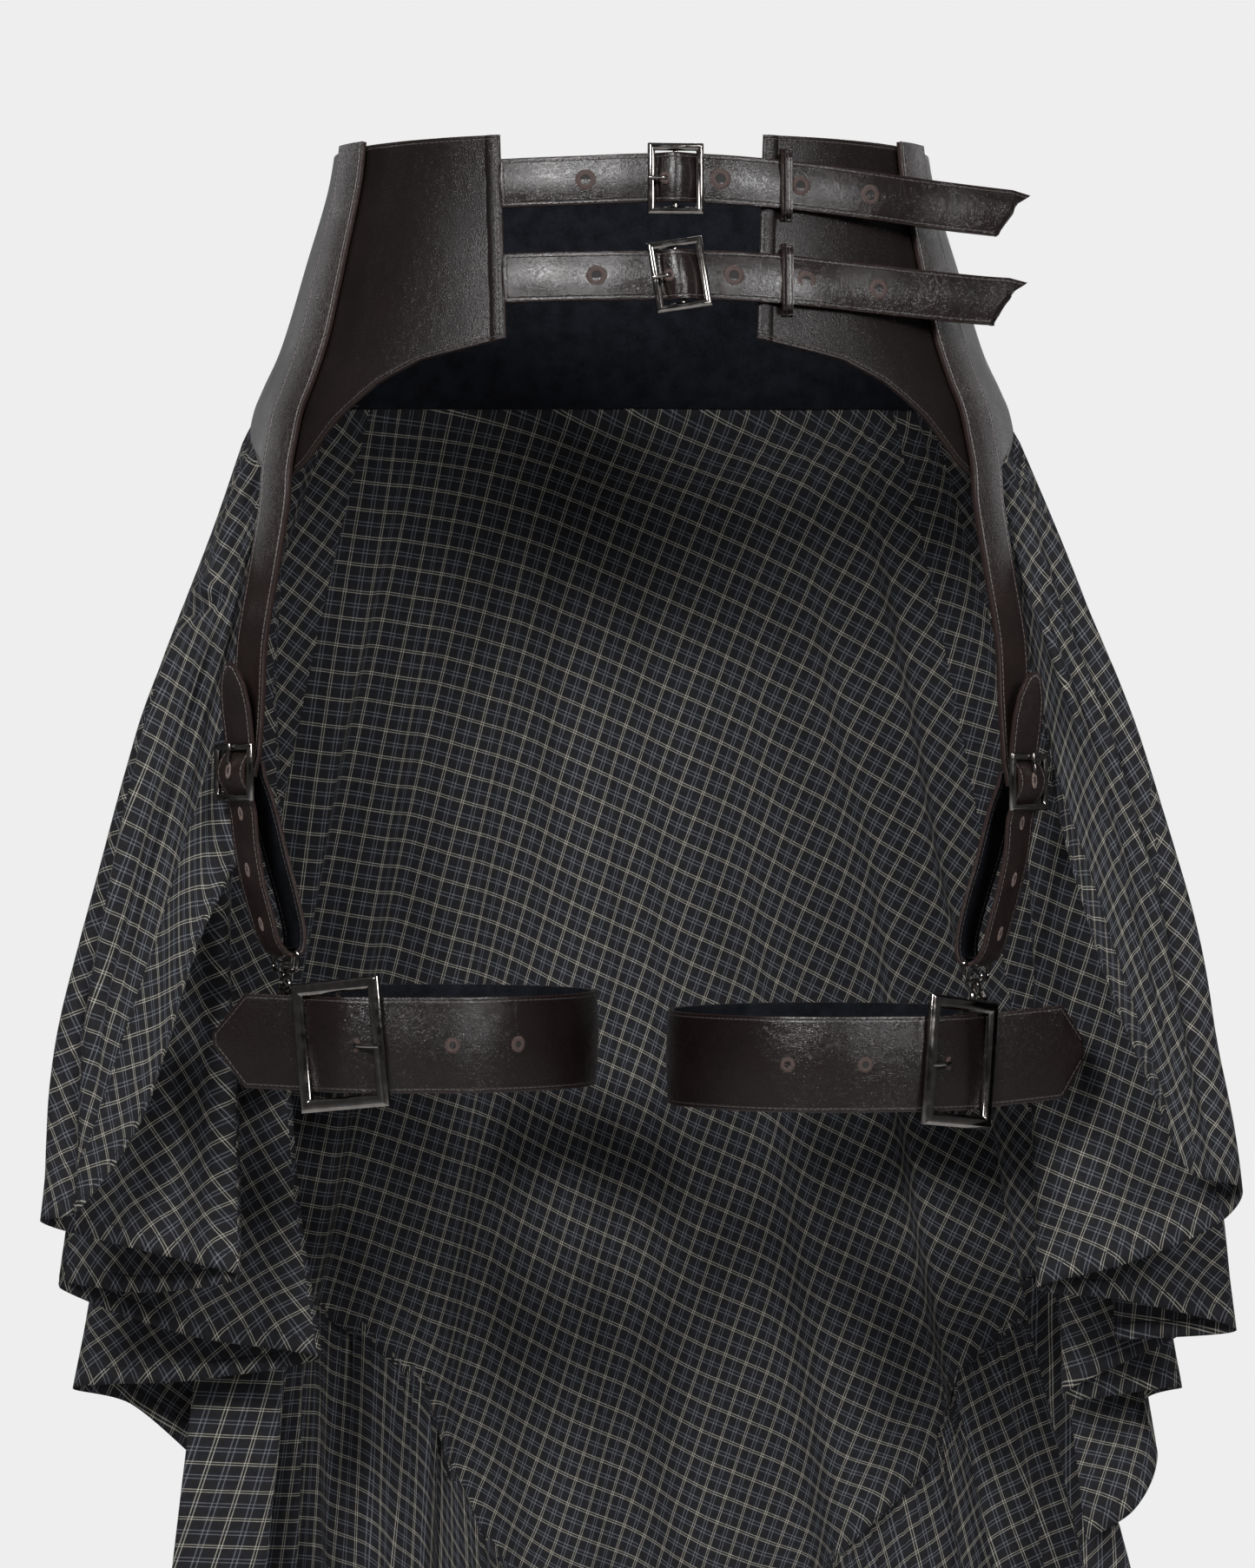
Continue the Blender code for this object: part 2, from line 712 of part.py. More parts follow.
def ring(name, centre, axis, half_long, half_wide, long_way, wire, steps):
    """A closed wire ring, round or oval."""
    axis = unit(axis)
    long_way = unit(long_way - axis * np.dot(axis, long_way))
    wide_way = np.cross(axis, long_way)
    centres = []
    outward = []
    for k in range(steps):
        turn = 2 * math.pi * k / steps
        centres.append(centre + long_way * half_long * math.cos(turn) + wide_way * half_wide * math.sin(turn))
        outward.append(
            unit(long_way * half_wide * math.cos(turn) + wide_way * half_long * math.sin(turn))
        )
    model = bmesh.new()
    add_tube_ring(model, centres, outward, axis, wire, wire)
    return finish_metal(name, model)


# The waist belts


def hip_front(x, z, out):
    half_width, half_depth = girth(z)
    share = 1 - (x / (half_width + out)) ** 2
    return np.array((x, -(half_depth + out) * math.sqrt(max(share, 0.0)), z))


def hip_outward(x, z):
    half_width, half_depth = girth(z)
    point = hip_front(x, z, 0)
    return unit(np.array((point[0] / half_width**2, point[1] / half_depth**2, 0.0)))


def belt_edge(belt, rise):
    """The belt's middle line, moved up or down over the figure by the rise. Its fold over the
    buckle's bar leans with the buckle."""
    line = []
    for stop in belt.stops:
        near_bar = abs(stop.x - belt.buckle_x) < WAIST_BUCKLE_WIDTH / 2
        lean = rise * math.tan(math.radians(belt.roll)) if near_bar else 0.0
        line.append(hip_front(stop.x - lean, stop.z + rise, stop.out))
    seam_x = front_edge_x(belt.buckle_z + rise) - SEAM_GAP
    line[0] = hip_front(-seam_x, belt.stops[0].z + rise, PANEL_OUT)
    line += [np.array((stop.x, stop.y + rise * BELT_TILT, stop.z + rise)) for stop in belt.tail]
    return smooth_through(line, np.linspace(0, len(line) - 1, 2 * len(line) - 1))


def make_belt(label, belt):
    up = np.array((0.0, 0.0, 1.0))
    top = belt_edge(belt, BELT_WIDTH / 2)
    low = belt_edge(belt, -BELT_WIDTH / 2)
    along = unit(top[-1] - top[-2])
    tip_top = top[-1] + along * TIP_TOP_REACH - up * TIP_ROUNDING
    tip_low = low[-1] - along * TIP_LOW_BACK
    top = np.vstack([top, tip_top])
    low = np.vstack([low[:-1], tip_low, tip_low + along * TIP_ROUNDING + up * TIP_ROUNDING])
    return wall("waist_belt_" + label, np.stack([low, top], axis=1), STRAP_LEATHER, LEATHER_LOOK)


def buckle_tab_edge(belt, rise):
    z = belt.buckle_z + rise
    x = belt.buckle_x
    stops = ((46.0, 1.5), (38.0, 1.2), (x + 11, 1.2), (x + 5, 1.8), (x - 1.5, 2.9))
    line = [hip_front(front_edge_x(z) - SEAM_GAP, z, PANEL_OUT)]
    line += [hip_front(stop_x, z, out) for stop_x, out in stops]
    return smooth_through(line, np.linspace(0, len(line) - 1, 9))


def make_buckle_tab(label, belt):
    """The short strap from the left front panel to the buckle's middle bar."""
    half = BELT_WIDTH / 2 - 1
    grid = np.stack([buckle_tab_edge(belt, -half), buckle_tab_edge(belt, half)], axis=1)
    wall("buckle_tab_" + label, grid, THIN_LEATHER, LEATHER_LOOK)


def make_waist_buckle(label, belt):
    place = hip_front(belt.buckle_x, belt.buckle_z, WAIST_BUCKLE_OUT)
    above = hip_front(belt.buckle_x, belt.buckle_z + BELT_WIDTH / 2, WAIST_BUCKLE_OUT)
    flat_up = unit(above - place)
    side_way = hip_outward(belt.buckle_x, belt.buckle_z)
    flat_right = np.array((-side_way[1], side_way[0], 0.0))
    roll = math.radians(belt.roll)
    up = flat_up * math.cos(roll) - flat_right * math.sin(roll)
    right = flat_right * math.cos(roll) + flat_up * math.sin(roll)
    outward = np.cross(right, up)
    buckle(
        "waist_buckle_" + label,
        place,
        right,
        up,
        WAIST_BUCKLE_WIDTH,
        WAIST_BUCKLE_HEIGHT,
        WAIST_BUCKLE_BAR,
        WAIST_BUCKLE_DEPTH,
        1.9,
    )
    clear = WAIST_BUCKLE_DEPTH / 2 + TONGUE_RADIUS + SEAM_GAP
    bar_x = WAIST_BUCKLE_WIDTH / 2 - WAIST_BUCKLE_BAR / 2
    tongue(
        "waist_tongue_" + label,
        place - right * 4.2 + outward * (clear + 0.2),
        place - right * 7.2 + outward * (clear + 0.1),
        place - right * (bar_x + 0.9) + outward * clear,
    )


def make_keeper(label, belt):
    """A narrow loop over the belt, sewn to the left front panel above and below it."""
    x = belt.keeper_x
    panel_out = PANEL_OUT + LEATHER / 2 + SEAM_GAP + THIN_LEATHER / 2
    over_out = 5.7 + STRAP_LEATHER / 2 + SEAM_GAP + THIN_LEATHER / 2
    centre_z = belt.buckle_z - 1.0
    profile = (
        (KEEPER_HALF_HEIGHT, panel_out),
        (13.0, panel_out),
        (11.7, over_out - 0.6),
        (8.0, over_out),
        (0.0, over_out),
        (-8.0, over_out),
        (-11.7, over_out - 0.6),
        (-13.0, panel_out),
        (-KEEPER_HALF_HEIGHT, panel_out),
    )
    middle = []
    across = []
    for rise, out in profile:
        point = hip_front(x, centre_z + rise, out)
        outward = hip_outward(x, centre_z + rise)
        middle.append(point)
        across.append((-outward[1], outward[0], 0.0))
    ribbon(
        "keeper_" + label, np.array(middle), np.array(across), np.full(len(middle), KEEPER_WIDTH), THIN_LEATHER
    )


# The garters' fittings


def make_garter(label, side):
    buckle_z = GARTER_BUCKLE_Z[label]
    garter_strap("garter_strap_" + label, side, buckle_z)
    garter_adjuster("garter_adjuster_" + label, side, buckle_z)
    point, across, outward = garter_frame(side, buckle_z)
    up = np.array((0.0, 0.0, 1.0))
    bar_way = across if np.dot(np.cross(up, across), outward) > 0 else -across
    place = point + outward * 6.7
    buckle(
        "garter_buckle_" + label,
        place,
        up,
        bar_way,
        GARTER_BUCKLE_HEIGHT,
        GARTER_BUCKLE_WIDTH,
        GARTER_BUCKLE_BAR,
        2.4,
        1.6,
    )
    clear = 2.4 / 2 + TONGUE_RADIUS + SEAM_GAP
    tongue(
        "garter_tongue_" + label,
        place + up * 3.4 + outward * (clear + 1.1),
        place + up * 7.0 + outward * (clear + 0.3),
        place + up * 11.4 + outward * clear,
    )
    low_point, low_across, low_outward = garter_frame(side, buckle_z - 76.0)
    low_point[2] = 0.0
    hang = low_point + low_outward * LOOP_MIDDLE_OUT
    ring_z = buckle_z + RING_BAR_RISE - RING_HEIGHT / 2
    model = bmesh.new()
    outline = frame_path(RING_WIDTH, RING_HEIGHT, RING_CORNER, 2)
    outline_ring(model, hang + up * ring_z, low_across, up, outline, RING_WIRE, RING_WIRE)
    finish_metal("garter_ring_" + label, model)
    clasp_top = ring_z - RING_HEIGHT / 2 + RING_WIRE + SEAM_GAP + CLASP_WIRE
    clasp_low = THIGHS[label].z + THIGH_BAND_WIDTH / 2 + SEAM_GAP + CLASP_WIRE
    ring(
        "garter_clasp_" + label,
        hang + up * (clasp_top + clasp_low) / 2,
        low_across,
        (clasp_top - clasp_low) / 2,
        CLASP_HALF_WIDTH,
        up,
        CLASP_WIRE,
        12,
    )


# The thigh bands


def thigh_point(thigh, side, angle, out):
    turn = math.radians(angle)
    x = thigh.centre_x + (thigh.half_width + out) * math.sin(turn)
    return np.array((side * x, -(thigh.half_depth + out) * math.cos(turn), thigh.z))


def thigh_outward(thigh, side, angle):
    turn = math.radians(angle)
    return unit((side * math.sin(turn) / thigh.half_width, -math.cos(turn) / thigh.half_depth, 0.0))


def make_thigh_band(label, side):
    thigh = THIGHS[label]
    up = np.array((0.0, 0.0, 1.0))
    place = thigh_point(thigh, side, thigh.buckle_angle, THIGH_BUCKLE_OUT)
    outward = thigh_outward(thigh, side, thigh.buckle_angle)
    toward_side = np.array((-side * outward[1], side * outward[0], 0.0))
    first_angle = thigh.buckle_angle + 3
    line = []
    for angle in np.linspace(first_angle, first_angle + THIGH_BAND_SWEEP, THIGH_BAND_STEPS):
        line.append(thigh_point(thigh, side, angle, THIGH_BAND_OUT))
    for reach, rise in THIGH_PASS:
        line.append(place + toward_side * reach + outward * rise)
    tab = TABS[label]
    turn = math.radians(tab.turn)
    tab_way = toward_side * math.cos(turn) + outward * math.sin(turn) + up * tab.rise
    tab_start = line[-1]
    for reach in (tab.corner_reach * 0.35, tab.corner_reach * 0.7, tab.corner_reach, tab.tip_reach):
        line.append(tab_start + tab_way * reach)
    middle = np.array(line)
    top = middle + up * THIGH_BAND_WIDTH / 2
    low = middle - up * THIGH_BAND_WIDTH / 2
    top[-1] = middle[-1] + up * tab.tip_half_height
    low[-1] = middle[-1] - up * tab.tip_half_height
    grid = np.stack([low, middle, top], axis=1)
    wall("thigh_band_" + label, grid, STRAP_LEATHER, LEATHER_LOOK)
    flat_right = toward_side if side > 0 else -toward_side
    roll = math.radians(THIGH_BUCKLE_ROLL)
    frame_up = up * math.cos(roll) + toward_side * math.sin(roll)
    frame_right = flat_right * math.cos(roll) - side * up * math.sin(roll)
    buckle(
        "thigh_buckle_" + label,
        place,
        frame_right,
        frame_up,
        THIGH_BUCKLE_WIDTH,
        THIGH_BUCKLE_HEIGHT,
        THIGH_BUCKLE_BAR,
        3.2,
        2.0,
    )
    clear = 3.2 / 2 + TONGUE_RADIUS + SEAM_GAP
    bar_x = THIGH_BUCKLE_WIDTH / 2 - THIGH_BUCKLE_BAR / 2
    inward = -toward_side
    tongue(
        "thigh_tongue_" + label,
        place + inward * 9.0 + outward * (clear - 1.0),
        place + inward * 14.5 + outward * (clear - 0.1),
        place + inward * (bar_x + 1.8) + outward * clear,
    )


# The cloth


def fold_lines(side, folds, steps_down):
    """The points down each fold line, from its seam to its hem."""
    down = np.linspace(0, 1, steps_down + 1)[:, None]
    lines = []
    for fold in folds:
        seam_z = fold.seam_z
        seam_out = 0.0
        if seam_z is None:
            seam_z = yoke_low(fold.angle) - YOKE_SEAM_DROP
            seam_out = PANEL_OUT
        seam = on_hips(side, fold.angle, seam_z, seam_out)
        hem = np.array((side * fold.hem_x, fold.hem_y, fold.hem_z))
        bow = np.array((side * fold.bow_out, fold.bow_back, 0.0))
        lines.append(seam + (hem - seam) * down + bow * 4 * down * (1 - down))
    return np.array(lines)


def drape_grid(label, side, places, steps_down):
    return smooth_through(fold_lines(side, DRAPE_FOLDS[label], steps_down), places)


def make_drape(label, side):
    last = len(DRAPE_FOLDS[label]) - 1
    places = np.linspace(0, last, last * DRAPE_STEPS_ACROSS + 1)
    grid = drape_grid(label, side, places, DRAPE_STEPS_DOWN)
    wall("side_drape_" + label, grid, CLOTH, PLAID_LOOK)


def make_edge_band(label, side):
    """The faced strip that lies on the drape along its front edge."""
    rows = EDGE_BAND[label]
    places = np.linspace(rows[0].fold, rows[-1].fold, BAND_STEPS_ACROSS + 1)
    reaches = np.interp(places, [row.fold for row in rows], [row.reach for row in rows])
    fine_steps = 120
    grid = drape_grid(label, side, places, fine_steps)
    normals = sheet_normals(grid)
    out = (CLOTH + BAND_CLOTH) / 2 + SEAM_GAP
    strip = []
    for column, outward, reach_up in zip(grid, normals, reaches):
        steps = np.linalg.norm(np.diff(column, axis=0), axis=1)
        from_hem = np.concatenate([np.cumsum(steps[::-1])[::-1], [0.0]])
        toward_front = outward if outward[-1][1] < 0 else -outward
        points = []
        for reach in np.linspace(reach_up, 0.0, BAND_STEPS_DOWN + 1):
            place = np.interp(-reach, -from_hem, np.arange(len(column)))
            i = min(int(place), len(column) - 2)
            share = place - i
            base = column[i] * (1 - share) + column[i + 1] * share
            points.append(base + toward_front[i] * out)
        strip.append(points)
    wall("edge_band_" + label, np.array(strip), BAND_CLOTH, PLAID_LOOK)


def tier_seam_point(share):
    """A point on the gathered seam, from the wearer's right (0) round the back to the left (1)."""
    turn = math.pi * share
    depth = math.sin(turn)
    row = TIER_SEAM["right" if share < 0.5 else "left"]
    z = row.side_z + (TIER_SEAM_CENTRE_Z - row.side_z) * depth**row.sharpness
    return np.array((-BACK_HALF_WIDTH * math.cos(turn), BACK_SIDE_Y + BACK_DEPTH * depth, z))


def back_lines(steps_down):
    """Fold lines of the back skirt, from the right drape's last line to the left drape's."""
    fine = 60
    down = np.linspace(0, 1, steps_down + 1)
    lines = []
    ends = {}
    for label, side in SIDES.items():
        line = fold_lines(side, DRAPE_FOLDS[label][-1:], fine)[0]
        stop = np.interp(-TIER_SEAM[label].side_z, -line[:, 2], np.arange(fine + 1))
        ends[label] = smooth_through(line, down * stop)
    lines.append(ends["right"])
    first_angle = DRAPE_FOLDS["right"][-1].angle
    last_angle = 360 - DRAPE_FOLDS["left"][-1].angle
    for i in range(1, BACK_FOLDS):
        share = i / BACK_FOLDS
        angle = first_angle + (last_angle - first_angle) * share
        seam_z = yoke_low(min(angle, 360 - angle)) - YOKE_SEAM_DROP
        seam = on_hips(-1, angle, seam_z, PANEL_OUT)
        hem = tier_seam_point(share)
        swing = BACK_WAVE * (-1 if i % 2 else 1)
        hem = hem + swing * unit(np.array((hem[0], hem[1] - BACK_SIDE_Y / 2, 0.0)))
        lines.append(seam + (hem - seam) * down[:, None])
    lines.append(ends["left"])
    return np.array(lines)


def back_seam_line(places):
    """The lower edge of the back skirt, read at places counted in folds."""
    return smooth_through(back_lines(BACK_STEPS_DOWN), places)[:, -1]


def make_back_skirt():
    lines = back_lines(BACK_STEPS_DOWN)
    edge = 0.06
    places = np.linspace(edge, BACK_FOLDS - edge, BACK_FOLDS * BACK_STEPS_ACROSS + 1)
    grid = smooth_through(lines, places)
    wall("back_skirt", grid, CLOTH, PLAID_LOOK)


def flounce_hem_point(share):
    turn = math.pi * share
    depth = math.sin(turn)
    return np.array(
        (
            FLOUNCE_CENTRE_X - FLOUNCE_HALF_WIDTH * math.cos(turn),
            FLOUNCE_SIDE_Y + FLOUNCE_DEPTH * depth,
            FLOUNCE_SIDE_Z + (FLOUNCE_CENTRE_Z - FLOUNCE_SIDE_Z) * depth**1.3,
        )
    )


def flounce_lines():
    """Seam and hem points of the flounce, from its right front edge round to the left."""
    ends = []
    for pleat in FLOUNCE_PLEATS["right"]:
        ends.append((pleat[:3], pleat[3:]))
    first_share = 0.055
    rows = FLOUNCE_WAVES * 2
    drop = np.array((0.0, 0.0, -2.4))
    for i in range(rows + 1):
        share = first_share + (1 - 2 * first_share) * i / rows
        seam = back_seam_line([share * BACK_FOLDS])[0] + drop
        hem = flounce_hem_point(share)
        swing = 1 if i % 2 else -1
        outward = unit(np.array((hem[0], hem[1] - BACK_SIDE_Y / 2, 0.0)))
        ends.append((seam + outward * swing * FLOUNCE_GATHER, hem + outward * swing * FLOUNCE_WAVE))
    for pleat in reversed(FLOUNCE_PLEATS["left"]):
        ends.append((pleat[:3], pleat[3:]))
    return np.array(ends)


def make_flounce():
    ends = flounce_lines()
    down = np.linspace(0, 1, FLOUNCE_STEPS_DOWN)[None, :, None]
    lines = ends[:, :1] + (ends[:, 1:] - ends[:, :1]) * down
    count = int((len(lines) - 1) * FLOUNCE_STEPS_PER_WAVE / 2) + 1
    grid = smooth_through(lines, np.linspace(0, len(lines) - 1, count))
    wall("back_flounce", grid, CLOTH, PLAID_LOOK)


def main():
    for old in list(bpy.data.objects):
        bpy.data.objects.remove(old, do_unlink=True)
    make_panels()
    for label, belt in BELTS.items():
        make_belt(label, belt)
        make_buckle_tab(label, belt)
        make_waist_buckle(label, belt)
        make_keeper(label, belt)
    for label, side in SIDES.items():
        make_garter(label, side)
        make_thigh_band(label, side)
        make_drape(label, side)
        make_edge_band(label, side)
    make_back_skirt()
    make_flounce()


main()
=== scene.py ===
"""The looks of an open-front plaid skirt on its dark leather hip harness.

Tables are in millimetres, in the garment's own frame: the origin is on the waist line,
the front faces -Y and the wearer's right is -X. Meshes are made in metres.
"""

import math
from collections import namedtuple

import bmesh
import bpy
import numpy as np
from mathutils import Matrix, Vector, noise


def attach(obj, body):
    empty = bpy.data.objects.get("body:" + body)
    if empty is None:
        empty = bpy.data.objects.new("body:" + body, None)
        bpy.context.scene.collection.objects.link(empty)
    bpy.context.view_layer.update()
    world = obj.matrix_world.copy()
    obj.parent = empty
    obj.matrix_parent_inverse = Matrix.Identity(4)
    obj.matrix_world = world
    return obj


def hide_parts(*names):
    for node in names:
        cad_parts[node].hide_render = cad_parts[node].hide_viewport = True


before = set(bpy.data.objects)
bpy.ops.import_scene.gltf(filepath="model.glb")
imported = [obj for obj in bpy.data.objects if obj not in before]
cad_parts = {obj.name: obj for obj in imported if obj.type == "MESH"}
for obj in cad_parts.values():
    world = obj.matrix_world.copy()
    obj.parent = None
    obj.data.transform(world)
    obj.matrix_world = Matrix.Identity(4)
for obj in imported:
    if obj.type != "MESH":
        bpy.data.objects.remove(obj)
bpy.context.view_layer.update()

MM = 0.001
SIDES = {"right": -1, "left": 1}
UP = np.array((0.0, 0.0, 1.0))


def table(kind, *values):
    """A table: each row of values gets the kind's column names."""
    return [kind(*row) for row in values]


# Camera and studio
CAMERA_PLACE = (-1.67, -2300.0, -267.5)
PHOTO_HEIGHT = 1806
MM_PER_PIXEL = 0.37
FLOOR_Z = -1.03
BACKDROP = (0.855, 0.855, 0.855, 1.0)

# Walls
CLOTH = 0.45
LEATHER = 2.0
STRAP_LEATHER = 2.4
THIN_LEATHER = 1.6
SEAM_GAP = 0.3
BELT_WIDTH = 20.0
GARTER_WIDTH = 20.0
THIGH_BAND_WIDTH = 39.5
YOKE_TUCK = 2.0

Girth = namedtuple("Girth", "z half_width half_depth")
HIPS = table(
    Girth,
    (10, 122, 90),
    (-15, 126, 91.5),
    (-46, 135, 95),
    (-82, 146, 101),
    (-100, 154, 104),
    (-112, 158.5, 106),
    (-135, 162, 110),
    (-165, 164.5, 113),
    (-230, 163, 113),
)
PANEL_OUT = 2.0
TOP_EDGE = -1.0
SEAM_ANGLE = 63.3
SIDE_BACK_ANGLE = 118.0
SEAM_GAP_ANGLE = 0.32
FRONT_EDGE_TOP_X = 54.5
FRONT_EDGE_LOW_X = 51.5
FrontLow = namedtuple("FrontLow", "share z")
FRONT_PANEL_LOW = table(
    FrontLow,
    (0.0, -85.7),
    (0.10, -88.0),
    (0.34, -93.6),
    (0.50, -102.0),
    (0.68, -117.5),
    (0.82, -134.0),
    (1.0, -146.0),
)
YokeLow = namedtuple("YokeLow", "angle z")
YOKE_LOW = table(
    YokeLow,
    (66, -138.5),
    (70, -135.0),
    (76, -128.5),
    (83, -120.0),
    (90, -114.0),
    (100, -109.0),
    (115, -105.0),
    (140, -102.0),
    (180, -100.0),
)

# Fold lines of the side drapes, from the seam to the hem
Fold = namedtuple("Fold", "angle seam_z hem_x hem_y hem_z bow_out bow_back")
DRAPE_FOLDS = {
    "right": table(
        Fold,
        (76, -206, 158, -22, -215, 0, 0),
        (75, -190, 166, -18, -248, 2, 2),
        (74, -176, 162, -20, -286, 3, 3),
        (73, -165, 181, -29, -332, 4, 6),
        (72, -156, 194, -34, -376, 7, 8),
        (70.8, -148, 207, -35, -412, 10, 6),
        (73, None, 232, -30, -446, 13, 2),
        (83, None, 249, -18, -453, 14, 0),
        (88, None, 213, -2, -465, 12, 0),
        (93, None, 169, 14, -479, 8, 0),
        (98, None, 209, 30, -487, 9, 0),
        (103, None, 250, 42, -485, 12, 0),
        (108, None, 196, 58, -508, 12, 0),
        (113, None, 138, 74, -520, 16, 2),
        (118, None, 193, 88, -531, 12, 4),
        (123, None, 248, 102, -536, 8, 6),
        (128, None, 224, 116, -545, 8, 6),
        (133, None, 197, 128, -570, 10, 6),
    ),
    "left": table(
        Fold,
        (75, -194, 166, -22, -198, 0, 0),
        (75, -184, 175, -18, -226, 1, 1),
        (74, -173, 180, -22, -277, 2, 3),
        (73, -164, 190, -30, -319, 3, 6),
        (72, -156, 200, -35, -353, 6, 8),
        (70.5, -148, 212, -36, -383, 10, 7),
        (72, None, 232, -32, -427, 13, 5),
        (77, None, 242, -27, -434, 16, 2),
        (83, None, 258, -18, -439, 15, 0),
        (87, None, 248, -8, -455, 13, 0),
        (91, None, 212, 4, -472, 10, 0),
        (96, None, 174, 16, -484, 3, 0),
        (101, None, 215, 32, -491, 9, 0),
        (105, None, 263, 46, -505, 12, 0),
        (108, None, 211, 56, -510, 14, 0),
        (111, None, 242, 66, -508, 12, 0),
        (115, None, 189, 80, -538, 12, 2),
        (120, None, 244, 95, -535, 8, 5),
        (124, None, 228, 105, -543, 9, 6),
        (127, None, 235, 112, -570, 8, 6),
        (130, None, 225, 116, -592, 8, 6),
        (133, None, 203, 112, -606, 8, 6),
    ),
}
BandReach = namedtuple("BandReach", "fold reach")
EDGE_BAND = {
    "right": table(BandReach, (2.1, 72), (3.0, 92), (4.0, 95), (5.0, 82), (6.1, 20)),
    "left": table(BandReach, (2.1, 40), (3.0, 46), (4.0, 44), (5.0, 26), (5.6, 12)),
}

# The back skirt and the gathered tier below it
BACK_FOLDS = 16
BACK_ROWS = 120
BACK_HALF_WIDTH = 188.0
BACK_SIDE_Y = 120.0
BACK_DEPTH = 66.0
BACK_WAVE = 9.0
TIER_SEAM_CENTRE_Z = -690.0
TierSeam = namedtuple("TierSeam", "side_z sharpness")
TIER_SEAM = {"right": TierSeam(-500.0, 8.0), "left": TierSeam(-487.0, 2.4)}
FLOUNCE_WAVES = 20
FLOUNCE_HALF_WIDTH = 222.0
FLOUNCE_CENTRE_X = 17.0
FLOUNCE_SIDE_Y = 138.0
FLOUNCE_DEPTH = 76.0
FLOUNCE_WAVE = 10.0
FLOUNCE_GATHER = 1.2
FLOUNCE_SIDE_Z = -668.0
FLOUNCE_CENTRE_Z = -850.0
FLOUNCE_LEAN = (-9.0, 10.0)
FLOUNCE_FIRST_SHARE = 0.055
FLOUNCE_SEAM_RISE = 0.8
FLOUNCE_TUCK = 0.03
FLOUNCE_ROWS = 56
Pleat = namedtuple("Pleat", "seam_x seam_y seam_z hem_x hem_y hem_z")
FLOUNCE_PLEATS = {
    "right": table(
        Pleat,
        (-192, 110, -507, -209, 104, -655),
        (-168, 110, -512, -184, 106, -660),
        (-152, 114, -516, -166, 113, -668),
        (-168, 121, -509, -190, 126, -674),
    ),
    "left": table(
        Pleat,
        (176, 119, -496, 208, 127, -640),
        (196, 124, -484, 231, 132, -652),
    ),
}

# Garter straps, adjusters and thigh bands
Drop = namedtuple("Drop", "z out_x y facing")
GARTER_LINE = table(
    Drop,
    (-152, 148.6, -54.4, 51),
    (-208, 158.5, -42.6, 50),
    (-262, 161.0, -40.0, 53),
    (-300, 159.5, -38.0, 58),
    (-345, 151.5, -35.0, 60),
)
StrapAngle = namedtuple("StrapAngle", "z angle")
GARTER_ON_HIP = table(
    StrapAngle,
    (0.6, 65.5),
    (-50, 62.8),
    (-100, 60.5),
    (-137, 62.0),
)
GARTER_HIP_HEIGHTS = (0.6, -15, -30, -46, -64, -82, -100, -112, -124, -137)
GARTER_FREE_HEIGHTS = (-152.0, -180.0, -208.0, -235.0)
STRAP_EASE = 0.4
GARTER_OUT = PANEL_OUT + LEATHER / 2 + SEAM_GAP + STRAP_EASE + STRAP_LEATHER / 2
GARTER_BUCKLE_OUT = 6.7
GARTER_BUCKLE_Z = {"right": -262.6, "left": -266.6}
Loop = namedtuple("Loop", "rise out width")
ADJUSTER = table(
    Loop,
    (46.0, 11.5, 2.0),
    (43.5, 10.8, 9.0),
    (36.0, 9.0, 17.0),
    (27.0, 7.0, 20.0),
    (18.0, 5.2, 20.0),
    (11.0, 4.1, 20.0),
    (8.4, 4.3, 20.0),
    (4.2, 6.9, 20.0),
    (0.0, 8.0, 20.0),
    (-4.2, 6.9, 20.0),
    (-8.4, 4.3, 20.0),
    (-11.0, 4.0, 20.0),
    (-17.0, 2.6, 20.0),
    (-30.0, 1.8, 20.0),
    (-45.0, 0.8, 20.0),
    (-60.0, -0.6, 20.0),
    (-70.0, -1.8, 19.0),
    (-75.4, -5.0, 18.0),
    (-76.5, -8.6, 18.0),
    (-74.4, -12.4, 18.0),
    (-66.0, -14.6, 19.0),
    (-50.0, -13.8, 20.0),
    (-34.0, -11.8, 20.0),
    (-20.0, -8.6, 20.0),
    (-9.0, -5.4, 20.0),
    (-2.0, -2.6, 20.0),
    (4.0, -1.3, 20.0),
)
STRAP_END = ((9.0, 0.4), (3.0, 1.5), (-2.0, 2.5))
LOOP_MIDDLE_OUT = -8.4
RING_DROP = 76.0
RING_BAR_RISE = -74.3
RING_WIDTH = 22.6
RING_HEIGHT = 9.0
RING_CORNER = 2.4
RING_WIRE = 0.9
Thigh = namedtuple("Thigh", "centre_x half_width half_depth z buckle_angle")
THIGHS = {
    "right": Thigh(83.0, 64.5, 72.0, -375.3, 31.0),
    "left": Thigh(84.0, 65.0, 72.0, -383.3, 46.0),
}
Tab = namedtuple("Tab", "turn rise corner_reach tip_reach tip_half_height")
TABS = {
    "right": Tab(9.0, 0.02, 26.0, 41.0, 2.5),
    "left": Tab(20.0, 0.07, 37.0, 47.0, 5.0),
}
THIGH_BUCKLE_ROLL = 6.0
THIGH_BAND_OUT = 2.2
THIGH_BAND_START = 3.0
THIGH_BAND_SWEEP = 330.0
THIGH_BUCKLE_OUT = 8.6
Pass = namedtuple("Pass", "reach rise")
THIGH_PASS = table(
    Pass,
    (-24.0, -8.6),
    (-19.5, -4.9),
    (-14.0, -2.6),
    (-7.5, -0.3),
    (0.0, 1.2),
    (7.5, -0.3),
    (16.0, -3.2),
    (22.5, -3.3),
)

